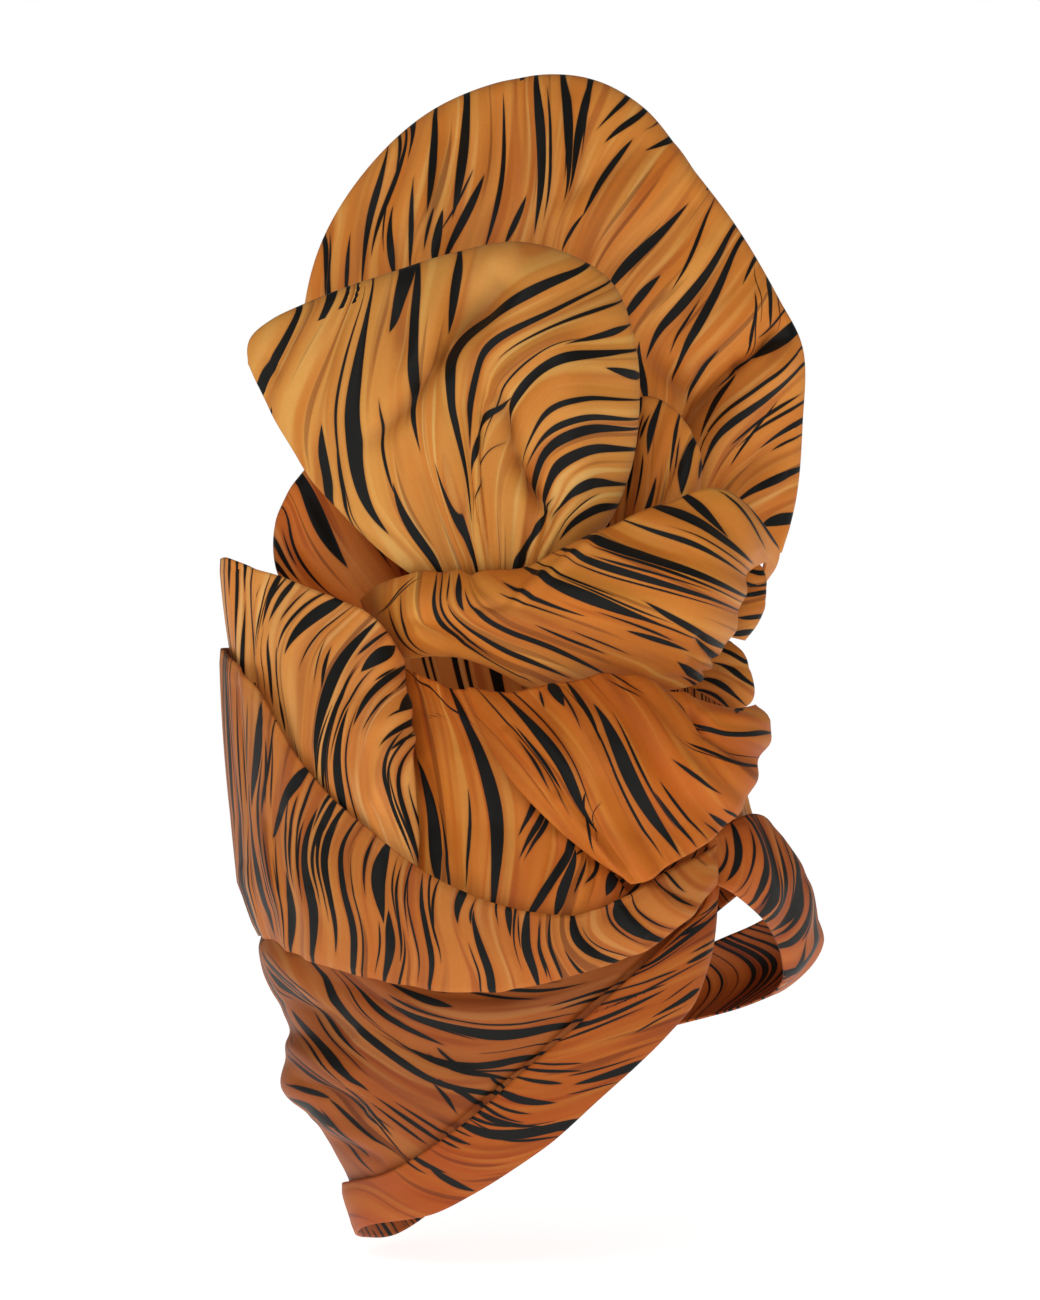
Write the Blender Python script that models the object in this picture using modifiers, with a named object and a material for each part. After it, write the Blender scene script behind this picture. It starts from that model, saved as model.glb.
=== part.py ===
"""Turban headwrap in striped cloth: a wide band, a cap with a sewn hem, pleats
laid round the crown, and bow loops that stand up out of a wrapped knot.

Frame: +Z up, the wearer faces -Y, metres.  The origin is the crown of the
wearer's head, where the wrap sits.

The shapes are charted on a drawing of the wrap seen from the wearer's right
front.  One square of the drawing is GRID; 'x' runs to the right and 'y' runs
down the sheet.  'out' is the distance in mm from the head's upright axis
towards the eye, and 'lift' is the distance in mm that cloth stands off the
head.  Cloth is drawn as ribs, one row to a rib, and skinned across them.
"""
import math

import bmesh
import bpy
import numpy as np
from mathutils import Vector

# ------------------------------------------------------------------ sizes ---
GRID = 0.00035            # one square of the drawing sheet
AXIS_X, CROWN_Y = 505.0, 640.0    # where the head's axis and crown are drawn
EYE_X, EYE_Y = 520.0, 650.0       # the point straight in front of the eye
EYE_DISTANCE = 1.60       # the eye stands this far from the head's axis
FACE = math.radians(50.0)  # the face is turned this far from the eye
CLOTH = 0.0018            # wall of doubled cloth
HEM = 0.0020              # wall of the folded hem
STRAIGHT_MM = -62.0       # above this height the wrap stands straight up

# the head that the wrap is wound on, half sizes in mm at each height
HEAD_COLUMNS = ("height", "front", "back", "half_width")
HEAD = (
    (0, 8, 8, 8),
    (-6, 34, 36, 30),
    (-18, 57, 60, 50),
    (-38, 78, 82, 66),
    (-62, 90, 90, 75),
    (-85, 97, 88, 79),
    (-104, 99, 80, 79),
    (-126, 99, 73, 77),
    (-143, 98, 67, 75),
    (-157, 98, 62, 72),
    (-171, 97, 54, 68),
    (-185, 96, 44, 62),
    (-200, 94, 42, 58),
    (-230, 91, 40, 54),
)

# ----------------------------------------------------------------- tables ---
# A loop is doubled cloth: each rib runs from the knot up to the rim and back
# down behind. bow bends the rib sideways, front and back are its fullness.
LOOP_COLUMNS = ("knot_x", "knot_y", "knot_out", "rim_x", "rim_y", "rim_out", "bow", "front", "back")
BACK_LOOP = (
    (420, 606, -12, 345, 505, -24, 0, 5, 5),
    (425, 606, -12, 312, 420, -27, -6, 8, 8),
    (430, 606, -13, 304, 335, -28, -10, 13, 16),
    (436, 606, -13, 321, 250, -28, -14, 19, 24),
    (444, 606, -14, 363, 178, -28, -12, 23, 29),
    (456, 606, -14, 428, 116, -28, -6, 25, 32),
    (475, 606, -14, 503, 84, -28, 0, 25, 33),
    (500, 606, -14, 580, 79, -28, 8, 25, 33),
    (525, 606, -14, 640, 108, -28, 14, 25, 32),
    (550, 606, -14, 689, 168, -28, 16, 24, 31),
    (572, 606, -14, 736, 230, -28, 14, 22, 28),
    (592, 606, -14, 777, 300, -28, 10, 20, 24),
    (610, 606, -13, 801, 350, -28, 6, 16, 20),
    (630, 606, -13, 801, 425, -28, 2, 13, 16),
    (650, 606, -12, 795, 493, -27, 0, 10, 12),
    (668, 606, -12, 781, 552, -22, 0, 5, 5),
)
FRONT_LOOP = (
    (450, 600, 36, 249, 364, 31, 26, 5, 5),
    (456, 603, 38, 252, 340, 31, 16, 8, 6),
    (463, 605, 39, 272, 322, 31, 9, 13, 8),
    (470, 605, 40, 305, 306, 32, 4, 16, 9),
    (477, 605, 40, 345, 290, 33, 2, 18, 10),
    (484, 605, 40, 395, 274, 34, 0, 20, 11),
    (490, 605, 40, 455, 255, 35, 4, 22, 12),
    (496, 605, 40, 515, 244, 36, 10, 22, 12),
    (504, 602, 40, 572, 258, 36, 18, 22, 12),
    (513, 598, 40, 612, 287, 36, 26, 22, 12),
    (523, 592, 40, 632, 345, 36, 32, 20, 11),
    (535, 586, 40, 636, 405, 36, 30, 18, 10),
    (547, 580, 40, 630, 462, 36, 22, 14, 8),
    (558, 575, 40, 612, 512, 37, 12, 9, 6),
    (568, 570, 40, 590, 545, 38, 4, 5, 5),
)
SIDE_LOOP = (
    (398, 584, -4, 345, 448, -6, 0, 4, 4),
    (398, 588, -4, 318, 458, -6, 0, 6, 5),
    (399, 592, -4, 298, 480, -6, 2, 8, 6),
    (400, 597, -4, 282, 508, -6, 4, 9, 6),
    (401, 602, -4, 276, 538, -6, 4, 9, 6),
    (402, 608, -4, 279, 570, -6, 2, 8, 6),
    (404, 614, -4, 292, 598, -6, 0, 5, 5),
)
UPPER_TUCK = (
    (612, 560, 12, 620, 452, 12, 0, 4, 4),
    (617, 560, 12, 634, 405, 12, 0, 6, 5),
    (624, 560, 12, 655, 399, 12, 0, 8, 6),
    (631, 560, 12, 678, 417, 12, 0, 9, 6),
    (640, 558, 12, 693, 440, 12, 0, 9, 6),
    (650, 555, 12, 699, 470, 12, 0, 7, 5),
    (660, 552, 12, 694, 500, 12, 0, 4, 4),
)
SIDE_TUCK = (
    (716, 604, 8, 742, 568, 7, 0, 4, 4),
    (716, 608, 8, 757, 574, 7, 0, 5, 4),
    (716, 614, 8, 765, 592, 7, 0, 6, 5),
    (716, 623, 8, 761, 613, 7, 0, 5, 4),
    (716, 634, 8, 744, 640, 7, 0, 4, 4),
)
LOWER_TUCK = (
    (690, 640, 10, 730, 641, 10, 0, 4, 4),
    (688, 650, 10, 743, 655, 10, 0, 6, 5),
    (686, 660, 10, 750, 677, 10, 0, 7, 6),
    (686, 672, 10, 750, 699, 10, 0, 6, 5),
    (690, 686, 10, 733, 712, 10, 0, 4, 4),
)
LOOPS = {  # table, gap at the knot, ribs across, points along a rib
    "back_loop": (BACK_LOOP, 7, 24, 17),
    "front_loop": (FRONT_LOOP, 6, 23, 17),
    "side_loop": (SIDE_LOOP, 4, 9, 11),
    "upper_tuck": (UPPER_TUCK, 4, 8, 11),
    "side_tuck": (SIDE_TUCK, 4, 6, 9),
    "lower_tuck": (LOWER_TUCK, 4, 6, 9),
}

# The wrap round the foot of the loops: one rib from its top to its lower edge.
FLAP_COLUMNS = ("x1", "y1", "out1", "x2", "y2", "out2", "bow", "belly")
KNOT_WRAP = (
    (362, 600, 11, 368, 614, 11, 0, 2),
    (372, 589, 23, 378, 628, 21, 0, 4),
    (387, 581, 38, 390, 645, 30, -6, 6),
    (410, 576, 49, 408, 657, 39, -4, 9),
    (442, 572, 55, 440, 656, 46, 0, 12),
    (478, 573, 56, 480, 664, 48, 0, 13),
    (515, 570, 56, 520, 684, 48, 0, 14),
    (558, 552, 56, 560, 694, 48, 0, 14),
    (605, 528, 55, 610, 694, 47, 0, 15),
    (652, 509, 51, 660, 690, 45, 0, 15),
    (700, 490, 44, 700, 682, 40, 0, 15),
    (738, 500, 32, 730, 635, 30, 0, 10),
    (764, 525, 19, 746, 575, 19, 0, 4),
    (779, 549, 3, 764, 562, 3, 0, 1),
    (769, 573, -16, 750, 602, -16, 0, -1),
    (746, 584, -30, 734, 628, -30, 0, -3),
    (700, 582, -38, 696, 642, -38, 0, -5),
    (620, 572, -42, 620, 648, -42, 0, -7),
    (530, 576, -42, 530, 650, -42, 0, -7),
    (455, 580, -38, 455, 646, -38, 0, -6),
    (408, 586, -30, 410, 636, -30, 0, -4),
    (386, 594, -21, 388, 624, -21, 0, -2),
)

# Cloth round the head: one rib from its first to its second edge. 'at' is the
# drawing's x on the seen side, or degrees round the head from the eye, which
# grow to the right. bow is in degrees and belly in mm.
RING_COLUMNS = ("at1", "y1", "lift1", "at2", "y2", "lift2", "bow", "belly")
SIDE_PLEAT_SEEN = (
    (405, 661, -16, 416, 905, 7.5, 4, 4),
    (392, 640, -10, 392, 890, 7.5, 2, 5),
    (372, 616, -6, 362, 870, 7.5, 0, 5),
    (345, 602, -4, 330, 842, 7, -1, 5),
    (312, 589, 0, 300, 815, 6.5, -1, 5),
    (280, 576, 4, 274, 790, 6, -1, 4),
    (250, 567, 10, 255, 760, 6, 0, 4),
)
SIDE_PLEAT_HIDDEN = (
    (-84, 558, 15.5, -84, 740, 6, 0, 2),
    (-100, 565, 15, -100, 725, 6, 0, 2),
    (-120, 575, 13, -120, 722, 6, 0, 1),
    (-145, 592, 12, -145, 725, 5, 0, 2),
    (-170, 602, 11, -170, 735, 5, 0, 3),
    (-195, 616, 9, -195, 755, 5, 0, 4),
    (-220, 638, 6, -220, 785, 4.5, 0, 3),
    (-240, 664, 3, -240, 815, 4, 0, 1),
    (-256, 692, 0, -256, 832, 3.5, 0, -1),
    (-271, 712, -1, -271, 838, 3.5, 0, -3),
    (-286, 724, -1, -286, 838, 3.5, 0, -3),
    (-300, 735, 0, -300, 836, 3.5, 0, -1),
)
CENTRE_PLEAT_SEEN = (
    (404, 668, -25, 404, 900, 4.8, 0, 2),
    (416, 674, -24, 436, 912, 4.8, 1, 3),
    (430, 682, -23, 468, 920, 4.8, 2, 5),
    (446, 688, -23, 498, 928, 4.8, 2, 6),
    (462, 690, -23, 528, 934, 4.8, 2, 6),
    (476, 694, -23, 558, 933, 5, 2, 6),
    (490, 702, -22, 586, 925, 5.5, 2, 5),
    (505, 715, -20, 610, 908, 6, 1, 4),
    (520, 735, -17, 628, 892, 6, 0, 3),
)
CROSS_PLEAT_SEEN = (
    (468, 690, -16, 631, 884, 14, -3, 4),
    (505, 691, -15, 650, 880, 15, -2, 7),
    (540, 689, -14, 668, 866, 16, -1, 9),
    (570, 682, -12, 692, 852, 16, 0, 10),
    (600, 675, -10, 715, 836, 16, 0, 10),
    (630, 676, -7, 738, 812, 15, 0, 9),
    (655, 685, -4, 751, 785, 13, 0, 8),
    (676, 693, -2, 762, 757, 10, 0, 7),
    (690, 701, 0, 768, 735, 8, 0, 5),
    (699, 708, 2, 765, 718, 7, 0, 4),
    (708, 712, 3, 754, 705, 6, 0, 2),
)
FRONT_BAND_SEEN = (
    (716, 845, 10, 716, 885, 10, 0, 0.5),
    (698, 856, 10.5, 692, 914, 10.5, 0, 1),
    (672, 868, 10.5, 656, 944, 10.5, 0, 1.5),
    (648, 882, 10.5, 622, 960, 10.5, 0, 2),
    (618, 902, 10.5, 590, 970, 10.5, 0, 2),
    (582, 914, 10.5, 560, 979, 10.5, 0, 2),
    (545, 914, 10.5, 530, 986, 10.5, 0, 2),
    (500, 905, 10.5, 490, 992, 10.5, 0, 2),
    (455, 888, 10.5, 445, 991, 10, 0, 2),
    (410, 862, 10.5, 400, 984, 9.5, 0, 2),
    (370, 830, 11, 358, 975, 9, 0, 2),
    (328, 794, 12, 318, 963, 8, 0, 2),
    (293, 750, 13, 288, 950, 7, 0, 2),
)
FRONT_BAND_HIDDEN = (
    (-62, 708, 14.5, -65, 942, 6.5, 0, 2),
    (-74, 672, 15, -75, 938, 6, 0, 2),
    (-86, 654, 15.5, -86, 935, 6, 0, 2),
    (-100, 648, 16, -100, 932, 6, 0, 2),
    (-120, 650, 15.5, -120, 930, 7, 0, 2),
    (-145, 656, 15, -145, 922, 8, 0, 2),
    (-170, 668, 14.5, -170, 915, 8, 0, 2),
    (-195, 690, 14.5, -195, 905, 8, 0, 2),
    (-218, 730, 12, -218, 898, 8, 0, 1),
    (-240, 782, 9, -240, 894, 7.5, 0, 0),
    (-256, 812, 7.5, -256, 892, 7, 0, 0),
    (-270, 824, 7, -270, 890, 7, 0, 0),
    (-284, 824, 7, -284, 882, 7, 0, 0),
    (-298, 820, 7, -298, 864, 7, 0, 0),
)
FAR_ROLL_HIDDEN = (
    (44, 836, 7, 44, 884, 6.5, 0, 0),
    (50, 824, 8, 50, 898, 5.5, 0, 2),
    (57, 814, 9.5, 57, 915, 5, 0, 4),
    (64, 818, 10, 64, 932, 4.5, 0, 6),
    (71, 834, 10, 71, 952, 4.5, 0, 7),
    (78, 855, 10, 78, 974, 4.5, 0, 9),
    (85, 878, 10, 86, 990, 4.5, 0, 12),
    (92, 900, 10, 94, 998, 4.5, 0, 14),
    (99, 914, 9.5, 102, 1004, 5, 0, 13),
    (108, 926, 9, 112, 1010, 7, 0, 11),
    (119, 938, 9, 124, 1018, 8, 0, 8),
    (131, 954, 9, 137, 1028, 8, 0, 5),
    (144, 975, 9, 150, 1038, 8, 0, 2),
    (156, 1004, 8.5, 161, 1048, 8, 0, 1),
)
CAP_SEEN = (
    (700, 868, 2.5, 700, 908, 0.8, 0, 0),
    (672, 885, 2.5, 672, 936, 0.8, 0, 0),
    (640, 900, 2.5, 636, 971, 0.8, 0, 0),
    (600, 930, 2, 598, 1006, 0.8, 0, 0),
    (560, 942, 2, 556, 1043, 0.8, 0, 0.5),
    (520, 942, 2, 515, 1078, 0.8, 0, 1),
    (480, 936, 2, 476, 1113, 0.8, 0, 1),
    (440, 925, 2, 440, 1141, 0.8, 0, 1),
    (400, 910, 2, 408, 1162, 0.8, 0, 1),
    (360, 895, 2, 380, 1176, 0.8, 0, 1),
)
CAP_HIDDEN = (
    (-58, 880, 2, -64, 1186, 0.8, 0, 1),
    (-76, 870, 2, -78, 1192, 0.8, 0, 1),
    (-95, 865, 2, -95, 1196, 0.8, 0, 1),
    (-120, 860, 2, -120, 1192, 0.8, 0, 1),
    (-145, 855, 2, -142, 1166, 0.8, 0, 1),
    (-165, 850, 2, -160, 1121, 0.8, 0, 1),
    (-185, 846, 2, -178, 1066, 0.8, 0, 1),
    (-203, 842, 2, -196, 1006, 0.8, 0, 1),
    (-220, 838, 2.5, -213, 951, 0.8, 0, 0),
    (-236, 844, 2, -230, 908, 0.8, 0, 0),
    (-254, 846, 1.5, -249, 874, 0.8, 0, 0),
    (-272, 844, 1.5, -268, 858, 0.8, 0, 0),
)
HEM_SEEN = (
    (714, 852, 4.2, 723, 856, 3, 0, 0),
    (703, 905, 4.2, 717, 902, 2.5, 0, 0),
    (675, 934, 4.2, 711, 955, 2.5, 0, 0.5),
    (639, 969, 4.2, 694, 1002, 2.5, 0, 0.5),
    (601, 1004, 4.2, 668, 1034, 2.5, 0, 0.5),
    (559, 1041, 4.2, 636, 1066, 2.5, 0, 0.5),
    (518, 1076, 4.2, 598, 1100, 2.5, 0, 0.5),
    (479, 1111, 4.2, 558, 1137, 2.5, 0, 0.5),
    (443, 1139, 4.2, 518, 1166, 2.5, 0, 0.5),
    (411, 1160, 4.2, 475, 1193, 2.5, 0, 0.5),
    (384, 1174, 4.2, 435, 1213, 3, 0, 0.5),
)
HEM_HIDDEN = (
    (-63, 1182, 4.2, -50, 1225, 3, 0, 0.5),
    (-78, 1184, 4.2, -70, 1233, 3, 0, 0.5),
    (-95, 1186, 4.6, -93, 1237, 3, 0, 0.5),
    (-120, 1182, 5.2, -120, 1234, 3, 0, 0.5),
    (-143, 1156, 5.4, -147, 1207, 3, 0, 0.5),
    (-161, 1111, 5.2, -168, 1160, 3, 0, 0.5),
    (-179, 1056, 5.0, -188, 1100, 3, 0, 0.5),
    (-197, 996, 4.8, -206, 1035, 2.5, 0, 0.5),
    (-214, 941, 4.6, -223, 975, 2.5, 0, 0.5),
    (-231, 898, 4.4, -238, 926, 2.5, 0, 0.5),
    (-250, 870, 4.4, -255, 892, 2.5, 0, 0.5),
    (-269, 853, 4.4, -272, 872, 2.5, 0, 0.5),
    (-286, 842, 4.4, -288, 860, 2.5, 0, 0.5),
    (-300, 838, 4.4, -300, 852, 2.5, 0, 0.3),
)
RINGS = {  # seen rows, hidden rows, wall, ribs across, points along a rib
    "side_pleat": (SIDE_PLEAT_SEEN, SIDE_PLEAT_HIDDEN, CLOTH, 31, 6),
    "centre_pleat": (CENTRE_PLEAT_SEEN, (), CLOTH, 9, 8),
    "cross_pleat": (CROSS_PLEAT_SEEN, (), CLOTH, 11, 8),
    "front_band": (FRONT_BAND_SEEN, FRONT_BAND_HIDDEN, CLOTH, 38, 5),
    "far_roll": ((), FAR_ROLL_HIDDEN, CLOTH, 22, 7),
    "cap": (CAP_SEEN, CAP_HIDDEN, CLOTH, 36, 7),
    "hem": (HEM_SEEN, HEM_HIDDEN, HEM, 40, 3),
}

FOLD_COLUMNS = ("x", "y", "half_x", "half_y", "rise")
FOLDS = {  # soft swells and dents: drawn place, reach each way, mm of rise outward
    "cap": ((292, 1082, 60, 26, 8), (268, 965, 50, 34, 4), (300, 1030, 60, 16, -1)),
    "back_loop": ((700, 420, 70, 60, -6), (560, 190, 70, 70, 4), (420, 260, 40, 90, 3)),
    "front_loop": ((480, 420, 20, 80, -5), (420, 400, 40, 90, 4), (570, 380, 50, 60, 4)),
    "side_pleat": ((350, 740, 40, 60, 3),),
    "cross_pleat": ((620, 770, 60, 40, 3),),
    "knot_wrap": ((620, 600, 80, 30, 3), (420, 610, 14, 30, 3)),
}

COLOURS = {  # base colour of each piece's cloth, linear
    "back_loop": (0.52, 0.20, 0.045),
    "front_loop": (0.60, 0.27, 0.06),
    "side_loop": (0.45, 0.16, 0.04),
    "knot_wrap": (0.58, 0.25, 0.06),
    "upper_tuck": (0.60, 0.27, 0.06),
    "side_tuck": (0.52, 0.20, 0.045),
    "lower_tuck": (0.45, 0.16, 0.04),
    "side_pleat": (0.52, 0.20, 0.045),
    "centre_pleat": (0.60, 0.25, 0.06),
    "cross_pleat": (0.58, 0.24, 0.055),
    "front_band": (0.55, 0.21, 0.05),
    "far_roll": (0.45, 0.15, 0.04),
    "cap": (0.48, 0.17, 0.045),
    "hem": (0.58, 0.24, 0.055),
}

# --------------------------------------------------------------- geometry ---
_HEIGHT, _FRONT, _BACK, _WIDTH = (np.array(c, float)[::-1] for c in zip(*HEAD))


def head_radius(degrees, height_mm):
    """Distance in mm from the axis to the wrap's bed at an angle from the eye."""
    z = np.minimum(height_mm, STRAIGHT_MM)
    turn = np.radians(degrees) - FACE
    c, s = np.cos(turn), np.sin(turn)
    along = np.where(c > 0, np.interp(z, _HEIGHT, _FRONT), np.interp(z, _HEIGHT, _BACK))
    return 1.0 / np.sqrt((c / along) ** 2 + (s / np.interp(z, _HEIGHT, _WIDTH)) ** 2)


def from_chart(x, y, out_mm):
    """(across, up, out) in metres of a drawn point that stands out_mm forward."""
    near = 1.0 - np.asarray(out_mm) / 1000.0 / EYE_DISTANCE
    across = GRID * ((EYE_X - AXIS_X) + (np.asarray(x, float) - EYE_X) * near)
    up = -GRID * ((EYE_Y - CROWN_Y) + (np.asarray(y, float) - EYE_Y) * near)
    return across, up, np.asarray(out_mm, float) / 1000.0


def chart_x(across, out):
    return EYE_X + (across / GRID - (EYE_X - AXIS_X)) / (1.0 - out / EYE_DISTANCE)


def ring_point(degrees, y, lift):
    """(across, up, out) of a drawn height y, lift mm off the head, at an angle."""
    degrees, y, lift = np.broadcast_arrays(
        np.asarray(degrees, float), np.asarray(y, float), np.asarray(lift, float)
    )
    out = np.zeros(degrees.shape)
    for _ in range(4):
        near = 1.0 - out / EYE_DISTANCE
        up = -GRID * ((EYE_Y - CROWN_Y) + (y - EYE_Y) * near)
        radius = (head_radius(degrees, up * 1000.0) + lift) / 1000.0
        out = radius * np.cos(np.radians(degrees))
    return radius * np.sin(np.radians(degrees)), up, out


def angle_at(x, y, lift):
    """The angle round the head at which a drawn point on its seen side lies."""
    angles = np.linspace(-88.0, 88.0, 353)
    across, _, out = ring_point(angles, y, lift)
    drawn = chart_x(across, out)
    low, high = int(np.argmin(drawn)), int(np.argmax(drawn))
    return float(np.interp(x, drawn[low : high + 1], angles[low : high + 1]))


def to_world(rib):
    """Turns (across, up, out) into x, y, z with the wearer facing -Y."""
    across, up, out = np.moveaxis(np.asarray(rib, float), -1, 0)
    c, s = math.cos(FACE), math.sin(FACE)
    return np.stack([across * c - out * s, -across * s - out * c, up], -1)


def loop_rib(row, gap, count):
    knot_x, knot_y, knot_out, rim_x, rim_y, rim_out, bow, front, back = row
    turn = np.linspace(0.0, math.pi, count)
    t, c = np.sin(turn), np.cos(turn)
    dx, dy = rim_x - knot_x, rim_y - knot_y
    span = math.hypot(dx, dy)
    bend = bow * 4 * t * (1 - t) / span
    full = gap + (np.where(c > 0, front, back) - gap) * np.sin(np.pi * t / 2)
    out = knot_out + (rim_out - knot_out) * t + c * full
    return np.stack(from_chart(knot_x + dx * t + dy * bend, knot_y + dy * t - dx * bend, out), -1)


def flap_rib(row, count):
    x1, y1, out1, x2, y2, out2, bow, belly = row
    t = np.linspace(0.0, 1.0, count)
    arch = 4 * t * (1 - t)
    dx, dy = x2 - x1, y2 - y1
    bend = bow * arch / max(math.hypot(dx, dy), 1e-6)
    out = out1 + (out2 - out1) * t + belly * arch
    return np.stack(from_chart(x1 + dx * t + dy * bend, y1 + dy * t - dx * bend, out), -1)


def ring_rib(row, count, seen):
    at1, y1, lift1, at2, y2, lift2, bow, belly = row
    if seen:
        at1, at2 = angle_at(at1, y1, lift1), angle_at(at2, y2, lift2)
    t = np.linspace(0.0, 1.0, count)
    arch = 4 * t * (1 - t)
    return np.stack(
        ring_point(at1 + (at2 - at1) * t + bow * arch, y1 + (y2 - y1) * t, lift1 + (lift2 - lift1) * t + belly * arch),
        -1,
    )


def skin(ribs, count):
    """A smooth surface through the ribs, as (count, points, 3)."""
    ribs = np.asarray(ribs, float)
    step = np.linalg.norm(ribs[1:] - ribs[:-1], axis=2).mean(1)
    knots = np.concatenate([[0.0], np.cumsum(np.sqrt(step))])
    h = np.diff(knots)[:, None, None]
    slope = np.diff(ribs, axis=0) / h
    tangent = np.empty_like(ribs)
    tangent[0], tangent[-1] = slope[0], slope[-1]
    tangent[1:-1] = (slope[:-1] * h[1:] + slope[1:] * h[:-1]) / (h[:-1] + h[1:])
    x = np.linspace(0.0, knots[-1], count)
    i = np.clip(np.searchsorted(knots, x, side="right") - 1, 0, len(knots) - 2)
    hh = h[i]
    u = ((x - knots[i]) / np.diff(knots)[i])[:, None, None]
    return (
        (2 * u**3 - 3 * u**2 + 1) * ribs[i]
        + (u**3 - 2 * u**2 + u) * hh * tangent[i]
        + (3 * u**2 - 2 * u**3) * ribs[i + 1]
        + (u**3 - u**2) * hh * tangent[i + 1]
    )


def chart_y(up, out):
    return EYE_Y + (-up / GRID - (EYE_Y - CROWN_Y)) / (1.0 - out / EYE_DISTANCE)


def fold(surface, rows):
    """Swells or dents the seen side of a surface along its own normal."""
    across, up, out = np.moveaxis(surface, -1, 0)
    x, y = chart_x(across, out), chart_y(up, out)
    normal = np.cross(np.gradient(surface, axis=0), np.gradient(surface, axis=1))
    normal /= np.linalg.norm(normal, axis=-1, keepdims=True) + 1e-12
    rise = np.zeros(x.shape)
    for fx, fy, half_x, half_y, mm in rows:
        rise += mm / 1000.0 * np.exp(-(((x - fx) / half_x) ** 2 + ((y - fy) / half_y) ** 2))
    away = out - out.mean() if np.ptp(out) < 0.12 else out
    seen = np.clip(away / 0.012 + 0.9, 0.0, 1.0)
    turn = np.sign((normal * surface).sum(-1).mean()) or 1.0
    return surface + normal * (rise * seen * turn)[..., None]


# ---------------------------------------------------------------- blender ---
def cloth_material(name, colour):
    material = bpy.data.materials.new(name + "_cloth")
    material.use_nodes = True
    shader = material.node_tree.nodes["Principled BSDF"]
    shader.inputs["Base Color"].default_value = (*colour, 1.0)
    shader.inputs["Roughness"].default_value = 0.62
    shader.inputs["Metallic"].default_value = 0.0
    material.diffuse_color = (*colour, 1.0)
    return material


def cloth_object(name, surface, wall, collection, root):
    """A grid laid on the surface and given its wall by Solidify."""
    rows, cols = surface.shape[:2]
    points = to_world(fold(surface, FOLDS.get(name, ())))
    mesh = bpy.data.meshes.new(name)
    sheet = bmesh.new()
    bmesh.ops.create_grid(sheet, x_segments=rows - 1, y_segments=cols - 1, size=0.5)
    for vertex in sheet.verts:
        i = round((vertex.co.x + 0.5) * (rows - 1))
        j = round((vertex.co.y + 0.5) * (cols - 1))
        vertex.co = Vector(points[i, j])
    sheet.to_mesh(mesh)
    sheet.free()
    mesh.shade_smooth()
    item = bpy.data.objects.new(name, mesh)
    collection.objects.link(item)
    item.parent = root
    mesh.materials.append(cloth_material(name, COLOURS[name]))
    solid = item.modifiers.new("wall", "SOLIDIFY")
    solid.thickness = wall
    solid.offset = 0.0
    solid.use_even_offset = True
    solid.use_quality_normals = True
    return item


def main():
    for item in list(bpy.data.objects):
        bpy.data.objects.remove(item)
    collection = bpy.data.collections.new("turban_headwrap")
    bpy.context.scene.collection.children.link(collection)
    root = bpy.data.objects.new("turban", None)
    collection.objects.link(root)
    for name, (table, gap, across, along) in LOOPS.items():
        ribs = [loop_rib(row, gap, along) for row in table]
        cloth_object(name, skin(ribs, across), CLOTH, collection, root)
    ribs = [flap_rib(row, 7) for row in KNOT_WRAP]
    cloth_object("knot_wrap", skin(ribs, 33), CLOTH, collection, root)
    for name, (seen, hidden, wall, across, along) in RINGS.items():
        ribs = [ring_rib(row, along, True) for row in seen]
        ribs += [ring_rib(row, along, False) for row in hidden]
        cloth_object(name, skin(ribs, across), wall, collection, root)


main()
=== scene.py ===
"""Looks of the turban headwrap: fine cloth with folds, printed with stripes,
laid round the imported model, with a camera, soft light and a pale floor.

The shapes are charted on a drawing of the wrap seen from the wearer's right
front, as in the part's own source.  One square of the drawing is GRID; 'x' runs to the right and 'y' runs
down the sheet.
"""
import math

import bpy
import numpy as np
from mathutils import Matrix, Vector


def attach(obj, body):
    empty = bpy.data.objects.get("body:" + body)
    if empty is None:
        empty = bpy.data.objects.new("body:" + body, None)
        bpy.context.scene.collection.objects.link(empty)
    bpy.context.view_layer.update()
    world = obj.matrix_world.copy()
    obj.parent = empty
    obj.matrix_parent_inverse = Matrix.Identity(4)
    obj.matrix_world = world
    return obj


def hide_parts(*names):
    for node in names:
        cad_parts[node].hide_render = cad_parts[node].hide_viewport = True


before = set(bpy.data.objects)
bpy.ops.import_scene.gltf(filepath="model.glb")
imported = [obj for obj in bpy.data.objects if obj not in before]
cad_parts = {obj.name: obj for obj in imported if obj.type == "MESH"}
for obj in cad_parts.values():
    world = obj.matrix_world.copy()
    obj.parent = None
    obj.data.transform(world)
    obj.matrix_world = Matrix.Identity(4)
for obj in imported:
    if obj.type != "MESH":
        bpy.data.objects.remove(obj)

# ------------------------------------------------------------------ sizes ---
GRID = 0.00035            # one square of the drawing sheet
AXIS_X, CROWN_Y = 505.0, 640.0    # where the head's axis and crown are drawn
EYE_X, EYE_Y = 520.0, 650.0       # the point straight in front of the eye
EYE_DISTANCE = 1.60       # the eye stands this far from the head's axis
FACE = math.radians(50.0)  # the face is turned this far from the eye
CLOTH = 0.0018            # wall of doubled cloth
HEM = 0.0020              # wall of the folded hem
STRAIGHT_MM = -62.0       # above this height the wrap stands straight up

# the head that the wrap is wound on, half sizes in mm at each height
HEAD_COLUMNS = ("height", "front", "back", "half_width")
HEAD = (
    (0, 8, 8, 8),
    (-6, 34, 36, 30),
    (-18, 57, 60, 50),
    (-38, 78, 82, 66),
    (-62, 90, 90, 75),
    (-85, 97, 88, 79),
    (-104, 99, 80, 79),
    (-126, 99, 73, 77),
    (-143, 98, 67, 75),
    (-157, 98, 62, 72),
    (-171, 97, 54, 68),
    (-185, 96, 44, 62),
    (-200, 94, 42, 58),
    (-230, 91, 40, 54),
)

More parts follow.
